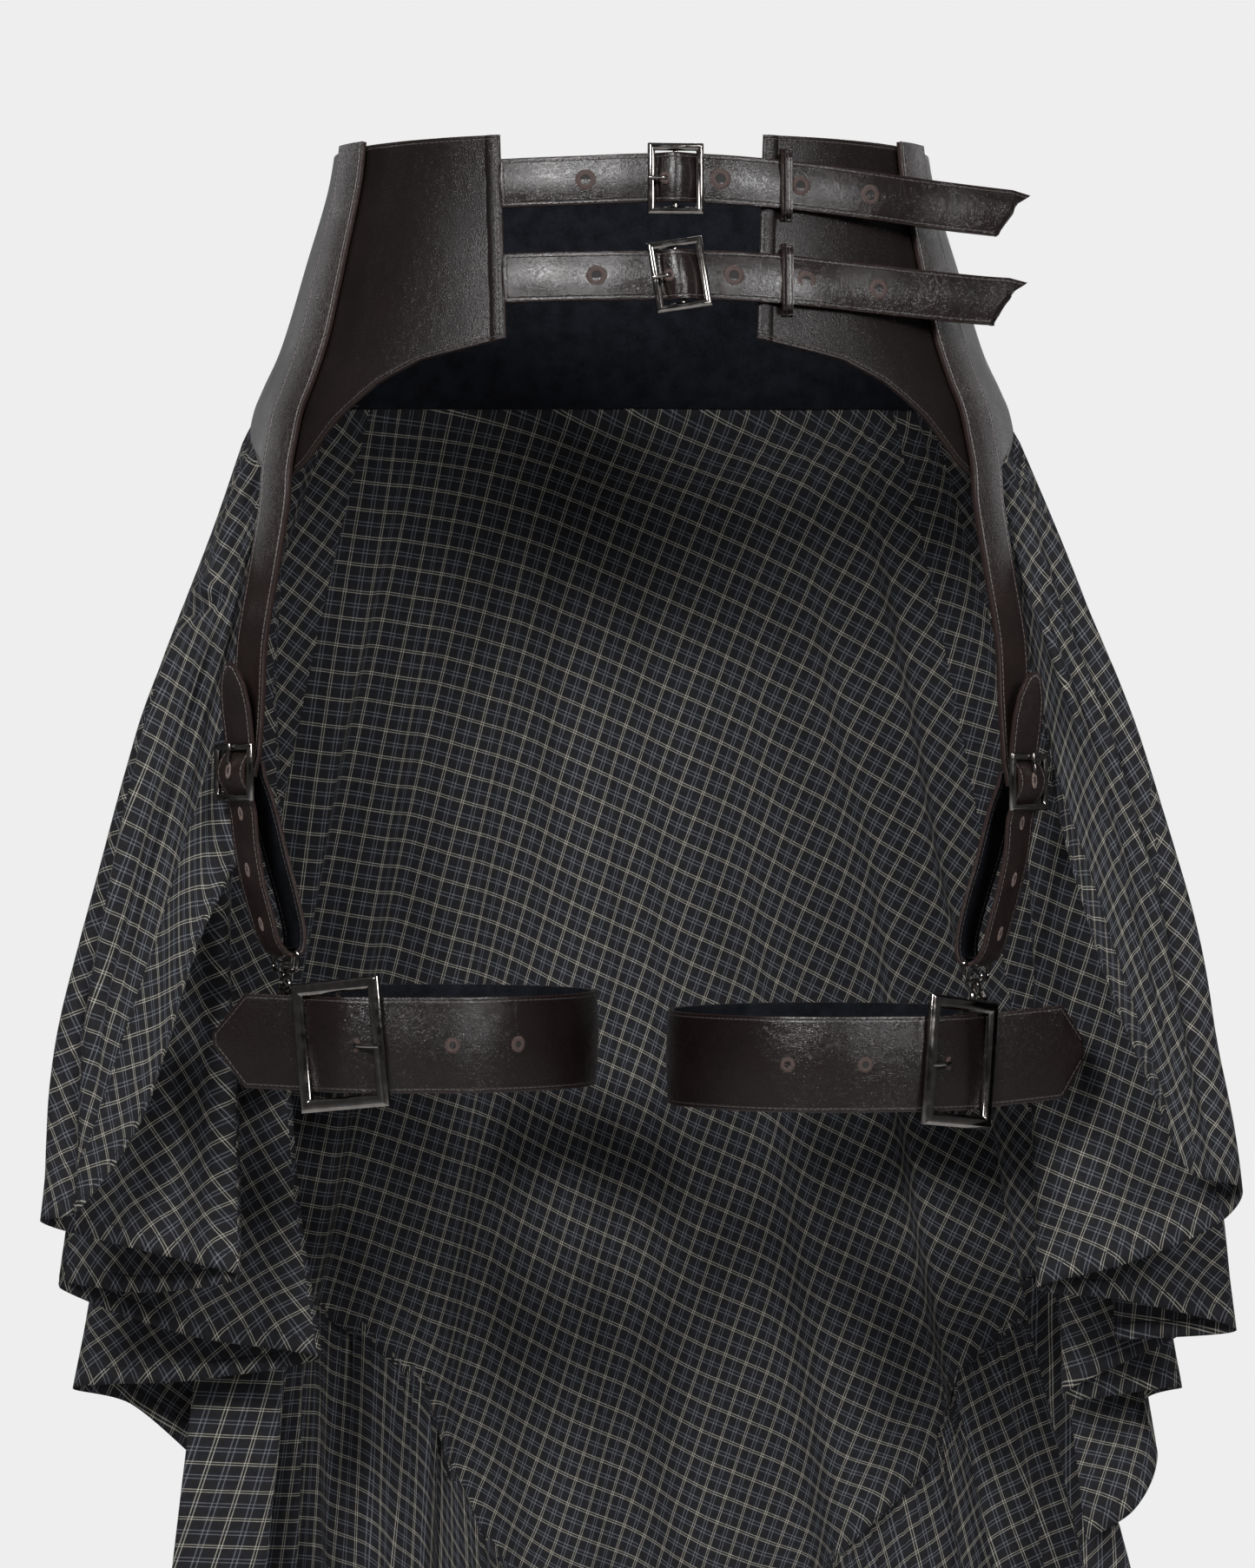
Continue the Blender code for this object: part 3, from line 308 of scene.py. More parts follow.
# The waist belts
BeltStop = namedtuple("BeltStop", "x out z")
BeltTail = namedtuple("BeltTail", "x y z")
Belt = namedtuple("Belt", "stops tail buckle_x buckle_z roll keeper_x")
BELT_TILT = 0.13
BELTS = {
    "upper": Belt(
        table(
            BeltStop,
            (-53.2, 2.0, -21.3),
            (-38.0, 2.2, -21.1),
            (-24.0, 2.4, -20.9),
            (-6.0, 3.2, -20.4),
            (9.5, 4.3, -20.0),
            (14.0, 7.2, -20.0),
            (18.0, 8.9, -20.0),
            (22.0, 7.2, -20.0),
            (26.5, 4.5, -20.0),
            (37.0, 4.7, -20.4),
            (47.0, 4.9, -20.9),
            (60.0, 5.1, -21.6),
            (75.0, 5.6, -22.6),
        ),
        table(
            BeltTail,
            (98.0, -71.5, -24.6),
            (120.0, -59.6, -26.4),
            (143.0, -49.0, -28.2),
            (159.0, -41.5, -29.2),
        ),
        18.0,
        -20.6,
        0.0,
        63.5,
    ),
    "lower": Belt(
        table(
            BeltStop,
            (-51.7, 2.0, -60.8),
            (-38.0, 2.2, -60.7),
            (-24.0, 2.4, -60.6),
            (-6.0, 3.2, -60.5),
            (11.5, 4.3, -60.4),
            (15.5, 7.2, -60.3),
            (19.5, 8.9, -60.2),
            (23.5, 7.2, -60.1),
            (27.8, 4.4, -60.1),
            (38.5, 4.7, -60.2),
            (47.0, 4.9, -60.5),
            (60.0, 5.1, -61.2),
            (75.0, 5.6, -62.2),
        ),
        table(
            BeltTail,
            (98.0, -78.5, -63.8),
            (120.0, -68.5, -65.2),
            (143.0, -57.5, -66.4),
            (157.0, -51.0, -66.8),
        ),
        19.5,
        -60.2,
        9.0,
        63.8,
    ),
}
BuckleFrame = namedtuple("BuckleFrame", "width height bar depth rounding bar_back")
WAIST_FRAME = BuckleFrame(23.0, 29.4, 3.0, 2.6, 0.9, 1.9)
GARTER_FRAME = BuckleFrame(24.0, 28.0, 3.0, 2.4, 0.8, 1.6)
THIGH_FRAME = BuckleFrame(45.0, 54.0, 5.5, 3.2, 1.25, 2.0)
BAR_RADIUS = 1.1
WAIST_BUCKLE_OUT = 8.0
KEEPER_WIDTH = 4.6
KEEPER_HALF_HEIGHT = 15.0
BELT_OUT_AT_KEEPER = 5.7
BELT_PAD = 1.0
ROLL_WIDTH = 5.5
ROLL_RISE = 0.9
ROLL_SHARE = 0.085
TIP_STEPS = 10
TIP_HELD_BACK = 24


# Curves, directions and the figure


def smooth_through(points, at):
    """Reads a smooth curve through the points, at places counted in points."""
    points = np.asarray(points, float)
    last = len(points) - 1
    at = np.clip(np.asarray(at, float), 0.0, last)
    start = np.minimum(np.floor(at).astype(int), last - 1)
    part = (at - start).reshape((-1,) + (1,) * (points.ndim - 1))
    before = points[np.maximum(start - 1, 0)]
    here = points[start]
    there = points[start + 1]
    after = points[np.minimum(start + 2, last)]
    leave = (there - before) / 2
    arrive = (after - here) / 2
    rise = there - here
    return here + part * (leave + part * (3 * rise - 2 * leave - arrive + part * (leave + arrive - 2 * rise)))


def resampled(points, fineness):
    """A smooth run through the points, with this many steps in place of each one."""
    last = len(points) - 1
    return smooth_through(points, np.linspace(0, last, fineness * last + 1))


def between_rows(rows, at, key, value):
    """Reads one column of a table at places along another, its key."""
    rows = sorted(rows, key=lambda row: getattr(row, key))
    return np.interp(at, [getattr(row, key) for row in rows], [getattr(row, value) for row in rows])


def unit(vectors):
    vectors = np.asarray(vectors, float)
    length = np.linalg.norm(vectors, axis=-1, keepdims=True)
    return vectors / np.maximum(length, 1e-9)


def sheet_normals(grid):
    across = np.gradient(grid, axis=0)
    down = np.gradient(grid, axis=1)
    return unit(np.cross(across, down))


def soft_step(low, high, value):
    share = np.clip((np.asarray(value, float) - low) / (high - low), 0, 1)
    return share * share * (3 - 2 * share)


HIP_CURVE = smooth_through(HIPS[::-1], np.linspace(0, len(HIPS) - 1, 8 * len(HIPS)))


def girth(z):
    half_width = np.interp(z, HIP_CURVE[:, 0], HIP_CURVE[:, 1])
    half_depth = np.interp(z, HIP_CURVE[:, 0], HIP_CURVE[:, 2])
    return half_width, half_depth


def on_hips(side, angle, z, out):
    """A point this far off the figure, at an angle in degrees from the centre front."""
    half_width, half_depth = girth(z)
    turn = math.radians(angle)
    return np.array((side * (half_width + out) * math.sin(turn), -(half_depth + out) * math.cos(turn), z))


def angle_at_x(x, z, out):
    half_width, _ = girth(z)
    return math.degrees(math.asin(x / (half_width + out)))


def yoke_low(angle):
    return between_rows(YOKE_LOW, angle, "angle", "z")


def hip_front(x, z, out):
    half_width, half_depth = girth(z)
    share = 1 - (x / (half_width + out)) ** 2
    return np.array((x, -(half_depth + out) * math.sqrt(max(share, 0.0)), z))


def outward_at(point):
    """Square to the figure's outline at the point's height."""
    half_width, half_depth = girth(point[2])
    return unit((point[0] / half_width**2, point[1] / half_depth**2, 0.0))


def hip_outward(x, z):
    return outward_at(hip_front(x, z, 0))


def level_right(outward):
    """Level and square to a way out, toward the right of someone who faces the piece."""
    return np.array((-outward[1], outward[0], 0.0))


def run_of(place, way, outward, stops):
    """Points at each stop's reach along a way and its rise off the piece."""
    return [place + way * reach + outward * rise for reach, rise in stops]


# Shader groups


def new_group(name, inputs, outputs):
    """A shader node group with named sockets. Each input row is its kind, name and default."""
    group = bpy.data.node_groups.new(name, "ShaderNodeTree")
    for kind, label, value in inputs:
        socket = group.interface.new_socket(label, in_out="INPUT", socket_type=kind)
        if value is not None:
            socket.default_value = value
    for kind, label in outputs:
        group.interface.new_socket(label, in_out="OUTPUT", socket_type=kind)
    return group, Desk(group, group.nodes.new("NodeGroupInput"), group.nodes.new("NodeGroupOutput"))


class Desk:
    """Adds shader nodes to a tree with short calls: a plain number stays on its socket."""

    def __init__(self, tree, source=None, result=None):
        self.tree = tree
        self.source = source
        self.result = result

    def put(self, kind, values=(), **settings):
        node = self.tree.nodes.new("ShaderNode" + kind)
        for label, value in settings.items():
            setattr(node, label, value)
        self.give(node, values)
        return node

    def give(self, node, values):
        for label, value in dict(values).items():
            self.plug(node.inputs[label], value)

    def plug(self, socket, value):
        if isinstance(value, bpy.types.NodeSocket):
            self.tree.links.new(value, socket)
        else:
            socket.default_value = value

    def math(self, operation, first, second=0.0, third=0.0, clamp=False):
        node = self.put("Math", operation=operation, use_clamp=clamp)
        self.give(node, enumerate((first, second, third)))
        return node.outputs[0]

    def spread(self, value, low, high, start=0.0, end=1.0):
        """A smooth step from start to end as the value goes from low to high."""
        ends = {"Value": value, "From Min": low, "From Max": high, "To Min": start, "To Max": end}
        return self.put("MapRange", ends, interpolation_type="SMOOTHSTEP").outputs["Result"]

    def mix(self, share, first, second):
        node = self.put("Mix", {"Factor": share}, data_type="RGBA")
        for socket in node.inputs:
            if socket.type == "RGBA":
                self.plug(socket, first if socket.name == "A" else second)
        return next(socket for socket in node.outputs if socket.type == "RGBA")

    def noise(self, vector, scale, detail, roughness=0.5):
        values = {"Vector": vector, "Scale": scale, "Detail": detail, "Roughness": roughness}
        return self.put("TexNoise", values).outputs["Fac"]

    def parts(self, vector):
        return self.put("SeparateXYZ", {"Vector": vector}).outputs

    def place(self):
        return self.put("TexCoord").outputs["Object"]

    def map(self, name):
        return self.put("UVMap", uv_map=name).outputs["UV"]

    def sewn_row(self, edge, inset, pitch):
        return self.put("Group", {"Edge": edge, "Inset": inset, "Pitch": pitch}, node_tree=SEWN_GROUP).outputs

    def bump(self, shader, height, strength, distance):
        node = self.put("Bump", {"Height": height, "Strength": strength, "Distance": distance})
        self.plug(shader.inputs["Normal"], node.outputs["Normal"])


Stripe = namedtuple("Stripe", "centre half_gap half_line tint")
PLAID_REPEAT = 12.2
THREAD_PITCH = 0.31
GROUND = (0.0118, 0.0119, 0.0134, 1.0)
SLATE = (0.118, 0.125, 0.144, 1.0)
CREAM = (0.355, 0.335, 0.285, 1.0)
STRIPES = table(Stripe, (0.0, 0.78, 0.21, SLATE), (PLAID_REPEAT / 2, 0.53, 0.16, CREAM))


def make_plaid_group():
    """Two thin cream lines and two slate lines in each repeat, both ways, in a plain weave."""
    group, desk = new_group(
        "plaid_weave",
        [("NodeSocketVector", "Cut", None), ("NodeSocketFloat", "Fade", 0.0)],
        [("NodeSocketColor", "Colour"), ("NodeSocketFloat", "Height")],
    )
    cut = desk.source.outputs["Cut"]
    place = desk.parts(cut)
    threads = []
    waves = []
    for axis in ("X", "Y"):
        along = desk.math("MULTIPLY", place[axis], 1000.0)
        colour = GROUND
        for stripe in STRIPES:
            moved = desk.math("SUBTRACT", along, stripe.centre)
            near = desk.math("ABSOLUTE", desk.math("WRAP", moved, PLAID_REPEAT / 2, -PLAID_REPEAT / 2))
            off = desk.math("ABSOLUTE", desk.math("SUBTRACT", near, stripe.half_gap))
            line = desk.spread(off, stripe.half_line - 0.08, stripe.half_line + 0.10, 1.0, 0.0)
            colour = desk.mix(line, colour, stripe.tint)
        threads.append(colour)
        waves.append(desk.math("SINE", desk.math("MULTIPLY", along, math.pi / THREAD_PITCH)))
    weave = desk.math("MULTIPLY", *waves)
    over = desk.math("MULTIPLY_ADD", weave, 0.35, 0.5, clamp=True)
    woven = desk.mix(over, *threads)
    shade = desk.spread(desk.noise(cut, 420.0, 3.0, 0.6), 0.25, 0.75, 0.82, 1.14)
    toned = desk.put("VectorMath", {0: woven, "Scale": shade}, operation="SCALE").outputs[0]
    desk.give(desk.result, {"Colour": toned, "Height": desk.math("ABSOLUTE", weave)})
    return group


def make_sewn_group():
    """A row of stitches at an inset from an edge, with the groove that it pulls."""
    group, desk = new_group(
        "sewn_row",
        [
            ("NodeSocketVector", "Edge", None),
            ("NodeSocketFloat", "Inset", 1.6),
            ("NodeSocketFloat", "Pitch", 2.6),
        ],
        [("NodeSocketFloat", "Groove"), ("NodeSocketFloat", "Thread")],
    )
    given = desk.source.outputs
    place = desk.parts(given["Edge"])
    run = desk.math("MULTIPLY", place["X"], 1000.0)
    inside = desk.math("MULTIPLY", place["Y"], 1000.0)
    off = desk.math("ABSOLUTE", desk.math("SUBTRACT", inside, given["Inset"]))
    half = desk.math("MULTIPLY", given["Pitch"], 0.5)
    beat = desk.math("DIVIDE", desk.math("PINGPONG", run, half), half)
    dash = desk.spread(beat, 0.12, 0.3)
    line = desk.spread(off, 0.14, 0.3, 1.0, 0.0)
    groove = desk.spread(off, 0.0, 0.75, 1.0, 0.0)
    deep = desk.math("MULTIPLY", groove, desk.spread(beat, 0.0, 0.5, 1.0, 0.75))
    desk.give(desk.result, {"Groove": deep, "Thread": desk.math("MULTIPLY", line, dash)})
    return group


def make_grain_group():
    """Leather grain: small pebbles between fine creases, with soft longer wrinkles."""
    group, desk = new_group(
        "leather_grain",
        [
            ("NodeSocketVector", "Place", None),
            ("NodeSocketFloat", "Pebble", 1.1),
            ("NodeSocketFloat", "Crease", 0.5),
        ],
        [("NodeSocketFloat", "Height"), ("NodeSocketFloat", "Shade"), ("NodeSocketFloat", "Gloss")],
    )
    given = desk.source.outputs
    place = given["Place"]
    drift = desk.put("TexNoise", {"Vector": place, "Scale": 240.0, "Detail": 2.0}).outputs["Color"]
    pulled = {0: drift, 1: (0.0020, 0.0020, 0.0012), 2: place}
    bent = desk.put("VectorMath", pulled, operation="MULTIPLY_ADD").outputs[0]
    size = desk.math("DIVIDE", 1000.0, given["Pebble"])
    cells = desk.put("TexVoronoi", {"Vector": bent, "Scale": size}, feature="DISTANCE_TO_EDGE")
    pebble = desk.spread(cells.outputs["Distance"], 0.0, 0.42)
    stretched = desk.put("VectorMath", {0: bent, 1: (1.0, 1.0, 2.1)}, operation="MULTIPLY").outputs[0]
    folds = desk.math("ABSOLUTE", desk.math("SUBTRACT", desk.noise(stretched, 620.0, 2.0), 0.5))
    deep = desk.math("MULTIPLY", desk.spread(folds, 0.0, 0.12), given["Crease"])
    height = desk.math("MULTIPLY_ADD", deep, 1.6, pebble)
    shade = desk.spread(desk.noise(place, 45.0, 5.0, 0.65), 0.3, 0.7)
    gloss = desk.math("MULTIPLY_ADD", shade, 0.5, desk.math("MULTIPLY", pebble, 0.5))
    desk.give(desk.result, {"Height": height, "Shade": shade, "Gloss": gloss})
    return group


PLAID_GROUP = make_plaid_group()
SEWN_GROUP = make_sewn_group()
GRAIN_GROUP = make_grain_group()


def begin_material(name):
    material = bpy.data.materials.new(name)
    material.use_nodes = True
    desk = Desk(material.node_tree)
    return material, desk, material.node_tree.nodes["Principled BSDF"]


def plaid_material(name, hem_inset, angle=0.0):
    """Cotton plaid that follows the cut, with a topstitched hem."""
    material, desk, shader = begin_material(name)
    cut = desk.map("cut")
    turned = desk.put("Mapping", {"Vector": cut, "Rotation": (0.0, 0.0, math.radians(angle))})
    plaid = desk.put("Group", {"Cut": turned.outputs["Vector"]}, node_tree=PLAID_GROUP).outputs
    edge = desk.map("edge")
    sewn = desk.sewn_row(edge, hem_inset, 2.2)
    colour = desk.mix(desk.math("MULTIPLY", sewn["Thread"], 0.8), plaid["Colour"], (0.012, 0.012, 0.015, 1.0))
    desk.give(shader, {"Base Color": colour, "Roughness": 0.9, "Specular IOR Level": 0.08})
    desk.give(shader, {"Sheen Weight": 0.01, "Sheen Roughness": 0.45})
    inside = desk.math("MULTIPLY", desk.parts(edge)["Y"], 1000.0)
    turn_up = desk.spread(inside, hem_inset - 0.2, hem_inset + 0.5, 1.0, 0.0)
    near_hem = desk.spread(inside, 0.0, hem_inset * 2.2, 1.0, 0.0)
    pucker = desk.math("MULTIPLY", desk.math("MULTIPLY", desk.noise(edge, 330.0, 1.0), 2.2), near_hem)
    height = desk.math("MULTIPLY_ADD", plaid["Height"], 0.12, turn_up)
    height = desk.math("ADD", height, pucker)
    height = desk.math("MULTIPLY_ADD", sewn["Groove"], -1.3, height)
    height = desk.math("MULTIPLY_ADD", desk.noise(cut, 60.0, 4.0, 0.55), 3.0, height)
    desk.bump(shader, height, 0.75, 0.0004)
    return material


HIDE_COLUMNS = "pebble crease depth gloss shine tone warm thread inset"
Hide = namedtuple("Hide", HIDE_COLUMNS, defaults=(1.0, 0.040, 1.6))
HIDES = {
    "panel": Hide(0.85, 0.25, 0.00006, 0.28, 0.20, 0.62),
    "yoke": Hide(0.85, 0.25, 0.00006, 0.31, 0.20, 0.7),
    "belt": Hide(0.6, 0.2, 0.00004, 0.18, 0.32, 0.6, 1.1, inset=1.5),
    # The strap's stitches are lighter: partly their thread colour, partly a painted highlight on the stitched
    # edge.
    "strap": Hide(0.9, 0.3, 0.00007, 0.29, 0.24, 1.0, 1.1, thread=0.15),
    "thigh": Hide(0.7, 0.25, 0.00005, 0.20, 0.34, 0.5, 1.15),
}


def leather_material(name, hide):
    """Dark brown semi-gloss leather, with a row of stitches along its edges."""
    material, desk, shader = begin_material(name)
    sizes = {"Place": desk.place(), "Pebble": hide.pebble, "Crease": hide.crease}
    grain = desk.put("Group", sizes, node_tree=GRAIN_GROUP).outputs
    edge = desk.map("edge")
    dark = (0.0075 * hide.warm * hide.tone, 0.0050 * hide.tone, 0.0047 * hide.tone, 1.0)
    light = (0.0130 * hide.warm * hide.tone, 0.0092 * hide.tone, 0.0087 * hide.tone, 1.0)
    colour = desk.mix(grain["Shade"], dark, light)
    rim = desk.spread(desk.parts(edge)["Y"], 0.0, 0.0009, 1.0, 0.0)
    colour = desk.mix(desk.math("MULTIPLY", rim, 0.6), colour, (0.018, 0.010, 0.009, 1.0))
    sewn = desk.sewn_row(edge, hide.inset, 2.5)
    # Stitch colour; on the strap it is lightened, partly as painted highlight on the stitched edge.
    colour = desk.mix(sewn["Thread"], colour, (hide.thread, hide.thread * 0.86, hide.thread * 0.82, 1.0))
    height = desk.math("MULTIPLY_ADD", sewn["Groove"], -3.2, grain["Height"])
    height = desk.math("MULTIPLY_ADD", sewn["Thread"], 2.6, height)
    rough = desk.spread(grain["Gloss"], 0.0, 1.0, hide.gloss + 0.10, hide.gloss - 0.04)
    desk.give(shader, {"Base Color": colour, "Roughness": rough, "Specular IOR Level": hide.shine})
    desk.bump(shader, height, 0.9, hide.depth)
    return material


def lining_material(name, bordered=False):
    """Navy-black brushed lining with a short nap, with a sewn leather border on a strap."""
    material, desk, shader = begin_material(name)
    place = desk.place()
    nap = desk.noise(place, 900.0, 3.0)
    tufts = desk.noise(place, 140.0, 3.0)
    share = desk.math("MULTIPLY_ADD", tufts, 0.6, desk.math("MULTIPLY", nap, 0.4))
    tone = desk.spread(share, 0.3, 0.7)
    colour = desk.mix(tone, (0.0018, 0.0021, 0.0032, 1.0), (0.0060, 0.0068, 0.0095, 1.0))
    if bordered:
        edge = desk.map("edge")
        border = desk.spread(desk.parts(edge)["Y"], 0.0013, 0.0016, 1.0, 0.0)
        colour = desk.mix(border, colour, (0.012, 0.009, 0.0085, 1.0))
        colour = desk.mix(desk.sewn_row(edge, 2.4, 2.5)["Thread"], colour, (0.12, 0.11, 0.12, 1.0))
    desk.give(shader, {"Base Color": colour, "Roughness": 0.95, "Specular IOR Level": 0.08})
    desk.bump(shader, nap, 0.5, 0.0003)
    return material


def metal_material(name):
    """Polished gunmetal with a faint haze and fine pits."""
    material, desk, shader = begin_material(name)
    place = desk.place()
    haze = desk.noise(place, 260.0, 4.0)
    pits = desk.noise(place, 1500.0, 2.0)
    colour = desk.mix(desk.spread(haze, 0.3, 0.7), (0.205, 0.190, 0.180, 1.0), (0.275, 0.255, 0.240, 1.0))
    rough = desk.spread(haze, 0.3, 0.8, 0.09, 0.20)
    desk.give(shader, {"Base Color": colour, "Roughness": rough, "Metallic": 1.0})
    desk.bump(shader, pits, 0.06, 0.0001)
    return material


def thread_material(name, dark, light):
    """Twisted sewing thread."""
    material, desk, shader = begin_material(name)
    twist = desk.noise(desk.place(), 2400.0, 2.0)
    colour = desk.mix(desk.spread(twist, 0.35, 0.65), (*dark, 1.0), (*light, 1.0))
    desk.give(shader, {"Base Color": colour, "Roughness": 0.8})
    desk.bump(shader, twist, 0.6, 0.00015)
    return material


LEATHERS = {kind: leather_material(kind + "_leather", hide) for kind, hide in HIDES.items()}
LINING = lining_material("navy_lining")
STRAP_LINING = lining_material("strap_lining", bordered=True)
METAL = metal_material("dark_nickel")
EYELET_THREAD = thread_material("eyelet_thread", (0.016, 0.009, 0.008), (0.048, 0.027, 0.022))
PALE_THREAD = thread_material("slit_thread", (0.045, 0.030, 0.026), (0.125, 0.088, 0.078))
HOLE_SHADE = thread_material("hole_shade", (0.0015, 0.0015, 0.0015), (0.0025, 0.0025, 0.0025))


# Making pieces


def finish_piece(obj, slot, *nodes):
    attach(obj, "root")
    if nodes:
        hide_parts(*nodes)


def object_from(model, name, materials, smooth_angle):
    mesh = bpy.data.meshes.new(name)
    model.to_mesh(mesh)
    model.free()
    for material in materials:
        mesh.materials.append(material)
    mesh.shade_smooth()
    if smooth_angle:
        mesh.set_sharp_from_angle(angle=math.radians(smooth_angle))
    obj = bpy.data.objects.new(name, mesh)
    bpy.context.scene.collection.objects.link(obj)
    return obj


def arc_lengths(grid, axis):
    steps = np.linalg.norm(np.diff(grid, axis=axis), axis=-1)
    shape = list(grid.shape[:2])
    shape[axis] = 1
    return np.concatenate([np.zeros(shape), np.cumsum(steps, axis=axis)], axis=axis)


def edge_map(points, sewn):
    """For each point: how far it is along the nearest sewn side, and how far inside it."""
    borders = {"first": points[0], "last": points[-1], "top": points[:, 0], "low": points[:, -1]}
    best = None
    for name in sewn:
        line = borders[name]
        steps = np.linalg.norm(np.diff(line, axis=0), axis=1)
        runs = np.concatenate([[0.0], np.cumsum(steps)])
        start, way = line[:-1], np.diff(line, axis=0)
        size = np.maximum((way**2).sum(axis=1), 1e-12)
        for i, column in enumerate(points):
            off = column[:, None] - start[None]
            share = np.clip((off * way).sum(axis=-1) / size, 0, 1)
            gap = np.linalg.norm(off - share[..., None] * way, axis=-1)
            k = gap.argmin(axis=1)
            rows = np.arange(len(column))
            found = np.stack([runs[k] + share[rows, k] * steps[k], gap[rows, k]], axis=-1)
            if best is None:
                best = np.full(points.shape[:2] + (2,), np.inf)
            closer = found[:, 1] < best[i, :, 1]
            best[i][closer] = found[closer]
    return best


def lay_sheet(
    name, grid, thickness, materials, sewn, outward, cut=None, other_cut=None, bevel=0.0, probe=0.5, pad=0.0
):
    """A sheet laid over a grid of points in millimetres, with its cut and its edges as UV maps."""
    grid = np.asarray(grid, float)
    middle = sheet_normals(grid)[int((len(grid) - 1) * probe), grid.shape[1] // 2]
    if np.dot(middle, outward) < 0:
        grid = grid[::-1]
        cut = None if cut is None else cut[::-1]
        other_cut = None if other_cut is None else (other_cut[0][:, ::-1], other_cut[1][::-1])
    columns, rows = grid.shape[:2]
    swell = pad * (1 - np.linspace(-1, 1, rows) ** 2) ** 1.5
    grid = grid + sheet_normals(grid) * swell[None, :, None]
    model = bmesh.new()
    bmesh.ops.create_grid(model, x_segments=columns - 1, y_segments=rows - 1, size=1.0)
    edges = edge_map(grid if cut is None else cut, sewn) * MM
    places = {}
    for vert in model.verts:
        i = round((vert.co.x + 1) / 2 * (columns - 1))
        j = round((1 - vert.co.y) / 2 * (rows - 1))
        places[vert] = (i, j)
        vert.co = grid[i, j] * MM
    edge_layer = model.loops.layers.uv.new("edge")
    cut_layer = model.loops.layers.uv.new("cut") if cut is not None else None
    for face in model.faces:
        corners = [places[loop.vert] for loop in face.loops]
        used = cut
        if other_cut is not None:
            cuts, which = other_cut
            used = cuts[which[tuple(np.min(corners, axis=0))]]
        for loop, (i, j) in zip(face.loops, corners):
            loop[edge_layer].uv = edges[i, j]
            if cut_layer is not None:
                loop[cut_layer].uv = used[i, j] * MM
    centre = (columns // 2, rows // 2)
    spot = Vector(grid[centre] * MM)
    model.normal_update()
    nearest = min(model.faces, key=lambda face: (face.calc_center_median() - spot).length)
    if nearest.normal.dot(Vector(sheet_normals(grid)[centre])) < 0:
        bmesh.ops.reverse_faces(model, faces=model.faces)
    obj = object_from(model, name, materials, 0)
    wall = obj.modifiers.new("wall", "SOLIDIFY")
    wall.thickness = thickness * MM
    wall.offset = 0.0
    if len(materials) > 1:
        wall.material_offset = 1
    if bevel:
        soft = obj.modifiers.new("soft edge", "BEVEL")
        soft.width = bevel * MM
        soft.segments = 2
        soft.limit_method = "ANGLE"
        soft.angle_limit = math.radians(55)
    return obj


LONG_SIDES = ("top", "low")
SIDES_AND_TIP = ("top", "low", "last")


def lay_leather(name, node, grid, thickness, hide, outward, bevel, sewn=LONG_SIDES, lining=LINING, **more):
    """A leather piece in place of its node, with leather on both faces if there is no lining."""
    materials = [LEATHERS[hide], lining] if lining else [LEATHERS[hide]]
    obj = lay_sheet(name, grid, thickness, materials, sewn, outward, bevel=bevel, **more)
    finish_piece(obj, "leather", node)


# Cloth


def flat_cut(grid, rounds=500):
    """Lays a sheet of cloth flat: a first fan from its lengths, then eased until they fit."""
    columns, rows = grid.shape[:2]
    steps_top = np.linalg.norm(np.diff(grid[:, 0], axis=0), axis=1)
    steps_low = np.linalg.norm(np.diff(grid[:, -1], axis=0), axis=1)
    down = arc_lengths(grid, 1)
    drop = (down[1:, -1] + down[:-1, -1]) / 2
    turns = np.concatenate([[0.0], np.cumsum((steps_low - steps_top) / np.maximum(drop, 1.0))])
    turns -= turns[-1] / 2
    flat = np.zeros((columns, rows, 2))
    start = np.zeros(2)
    for i in range(columns):
        if i:
            half = (turns[i] + turns[i - 1]) / 2
            start = start + steps_top[i - 1] * np.array((math.cos(half), math.sin(half)))
        flat[i] = start + down[i][:, None] * np.array((math.sin(turns[i]), -math.cos(turns[i])))
    links = []
    for di, dj in ((1, 0), (0, 1), (1, 1), (1, -1)):
        a = (slice(0, columns - di), slice(max(0, -dj), rows - max(0, dj)))
        b = (slice(di, columns), slice(max(0, dj), rows + min(0, dj)))
        links.append((a, b, np.linalg.norm(grid[b] - grid[a], axis=-1)))
    for _ in range(rounds):
        move = np.zeros_like(flat)
        for a, b, length in links:
            gap = flat[b] - flat[a]
            now = np.maximum(np.linalg.norm(gap, axis=-1), 1e-6)
            pull = gap * (((now - length) / now)[..., None] * 0.16)
            move[a] += pull
            move[b] -= pull
        flat += move
    return flat


def turned_cut(cut, angle, pivot):
    turn = math.radians(angle)
    x, y = np.moveaxis(cut - pivot, -1, 0)
    turned = (x * math.cos(turn) - y * math.sin(turn), x * math.sin(turn) + y * math.cos(turn))
    return pivot + np.stack(turned, axis=-1)


def finer(values, columns, rows):
    """Reads a coarse grid of values at more columns and rows."""
    values = smooth_through(values, np.linspace(0, len(values) - 1, columns))
    turned = np.swapaxes(values, 0, 1)
    turned = smooth_through(turned, np.linspace(0, len(turned) - 1, rows))
    return np.swapaxes(turned, 0, 1)


def rippled(grid, seed, long_mm, wide_mm, depth):
    """Uneven soft ripples along the normal: long down the folds, narrow across them."""
    across = arc_lengths(grid, 0).mean(axis=1)
    down = arc_lengths(grid, 1).mean(axis=0)
    field = np.empty(grid.shape[:2])
    for i, s in enumerate(across):
        for j, t in enumerate(down):
            field[i, j] = noise.noise(Vector((s / wide_mm, t / long_mm, seed)))
    return grid + sheet_normals(grid) * (field * depth)[..., None]


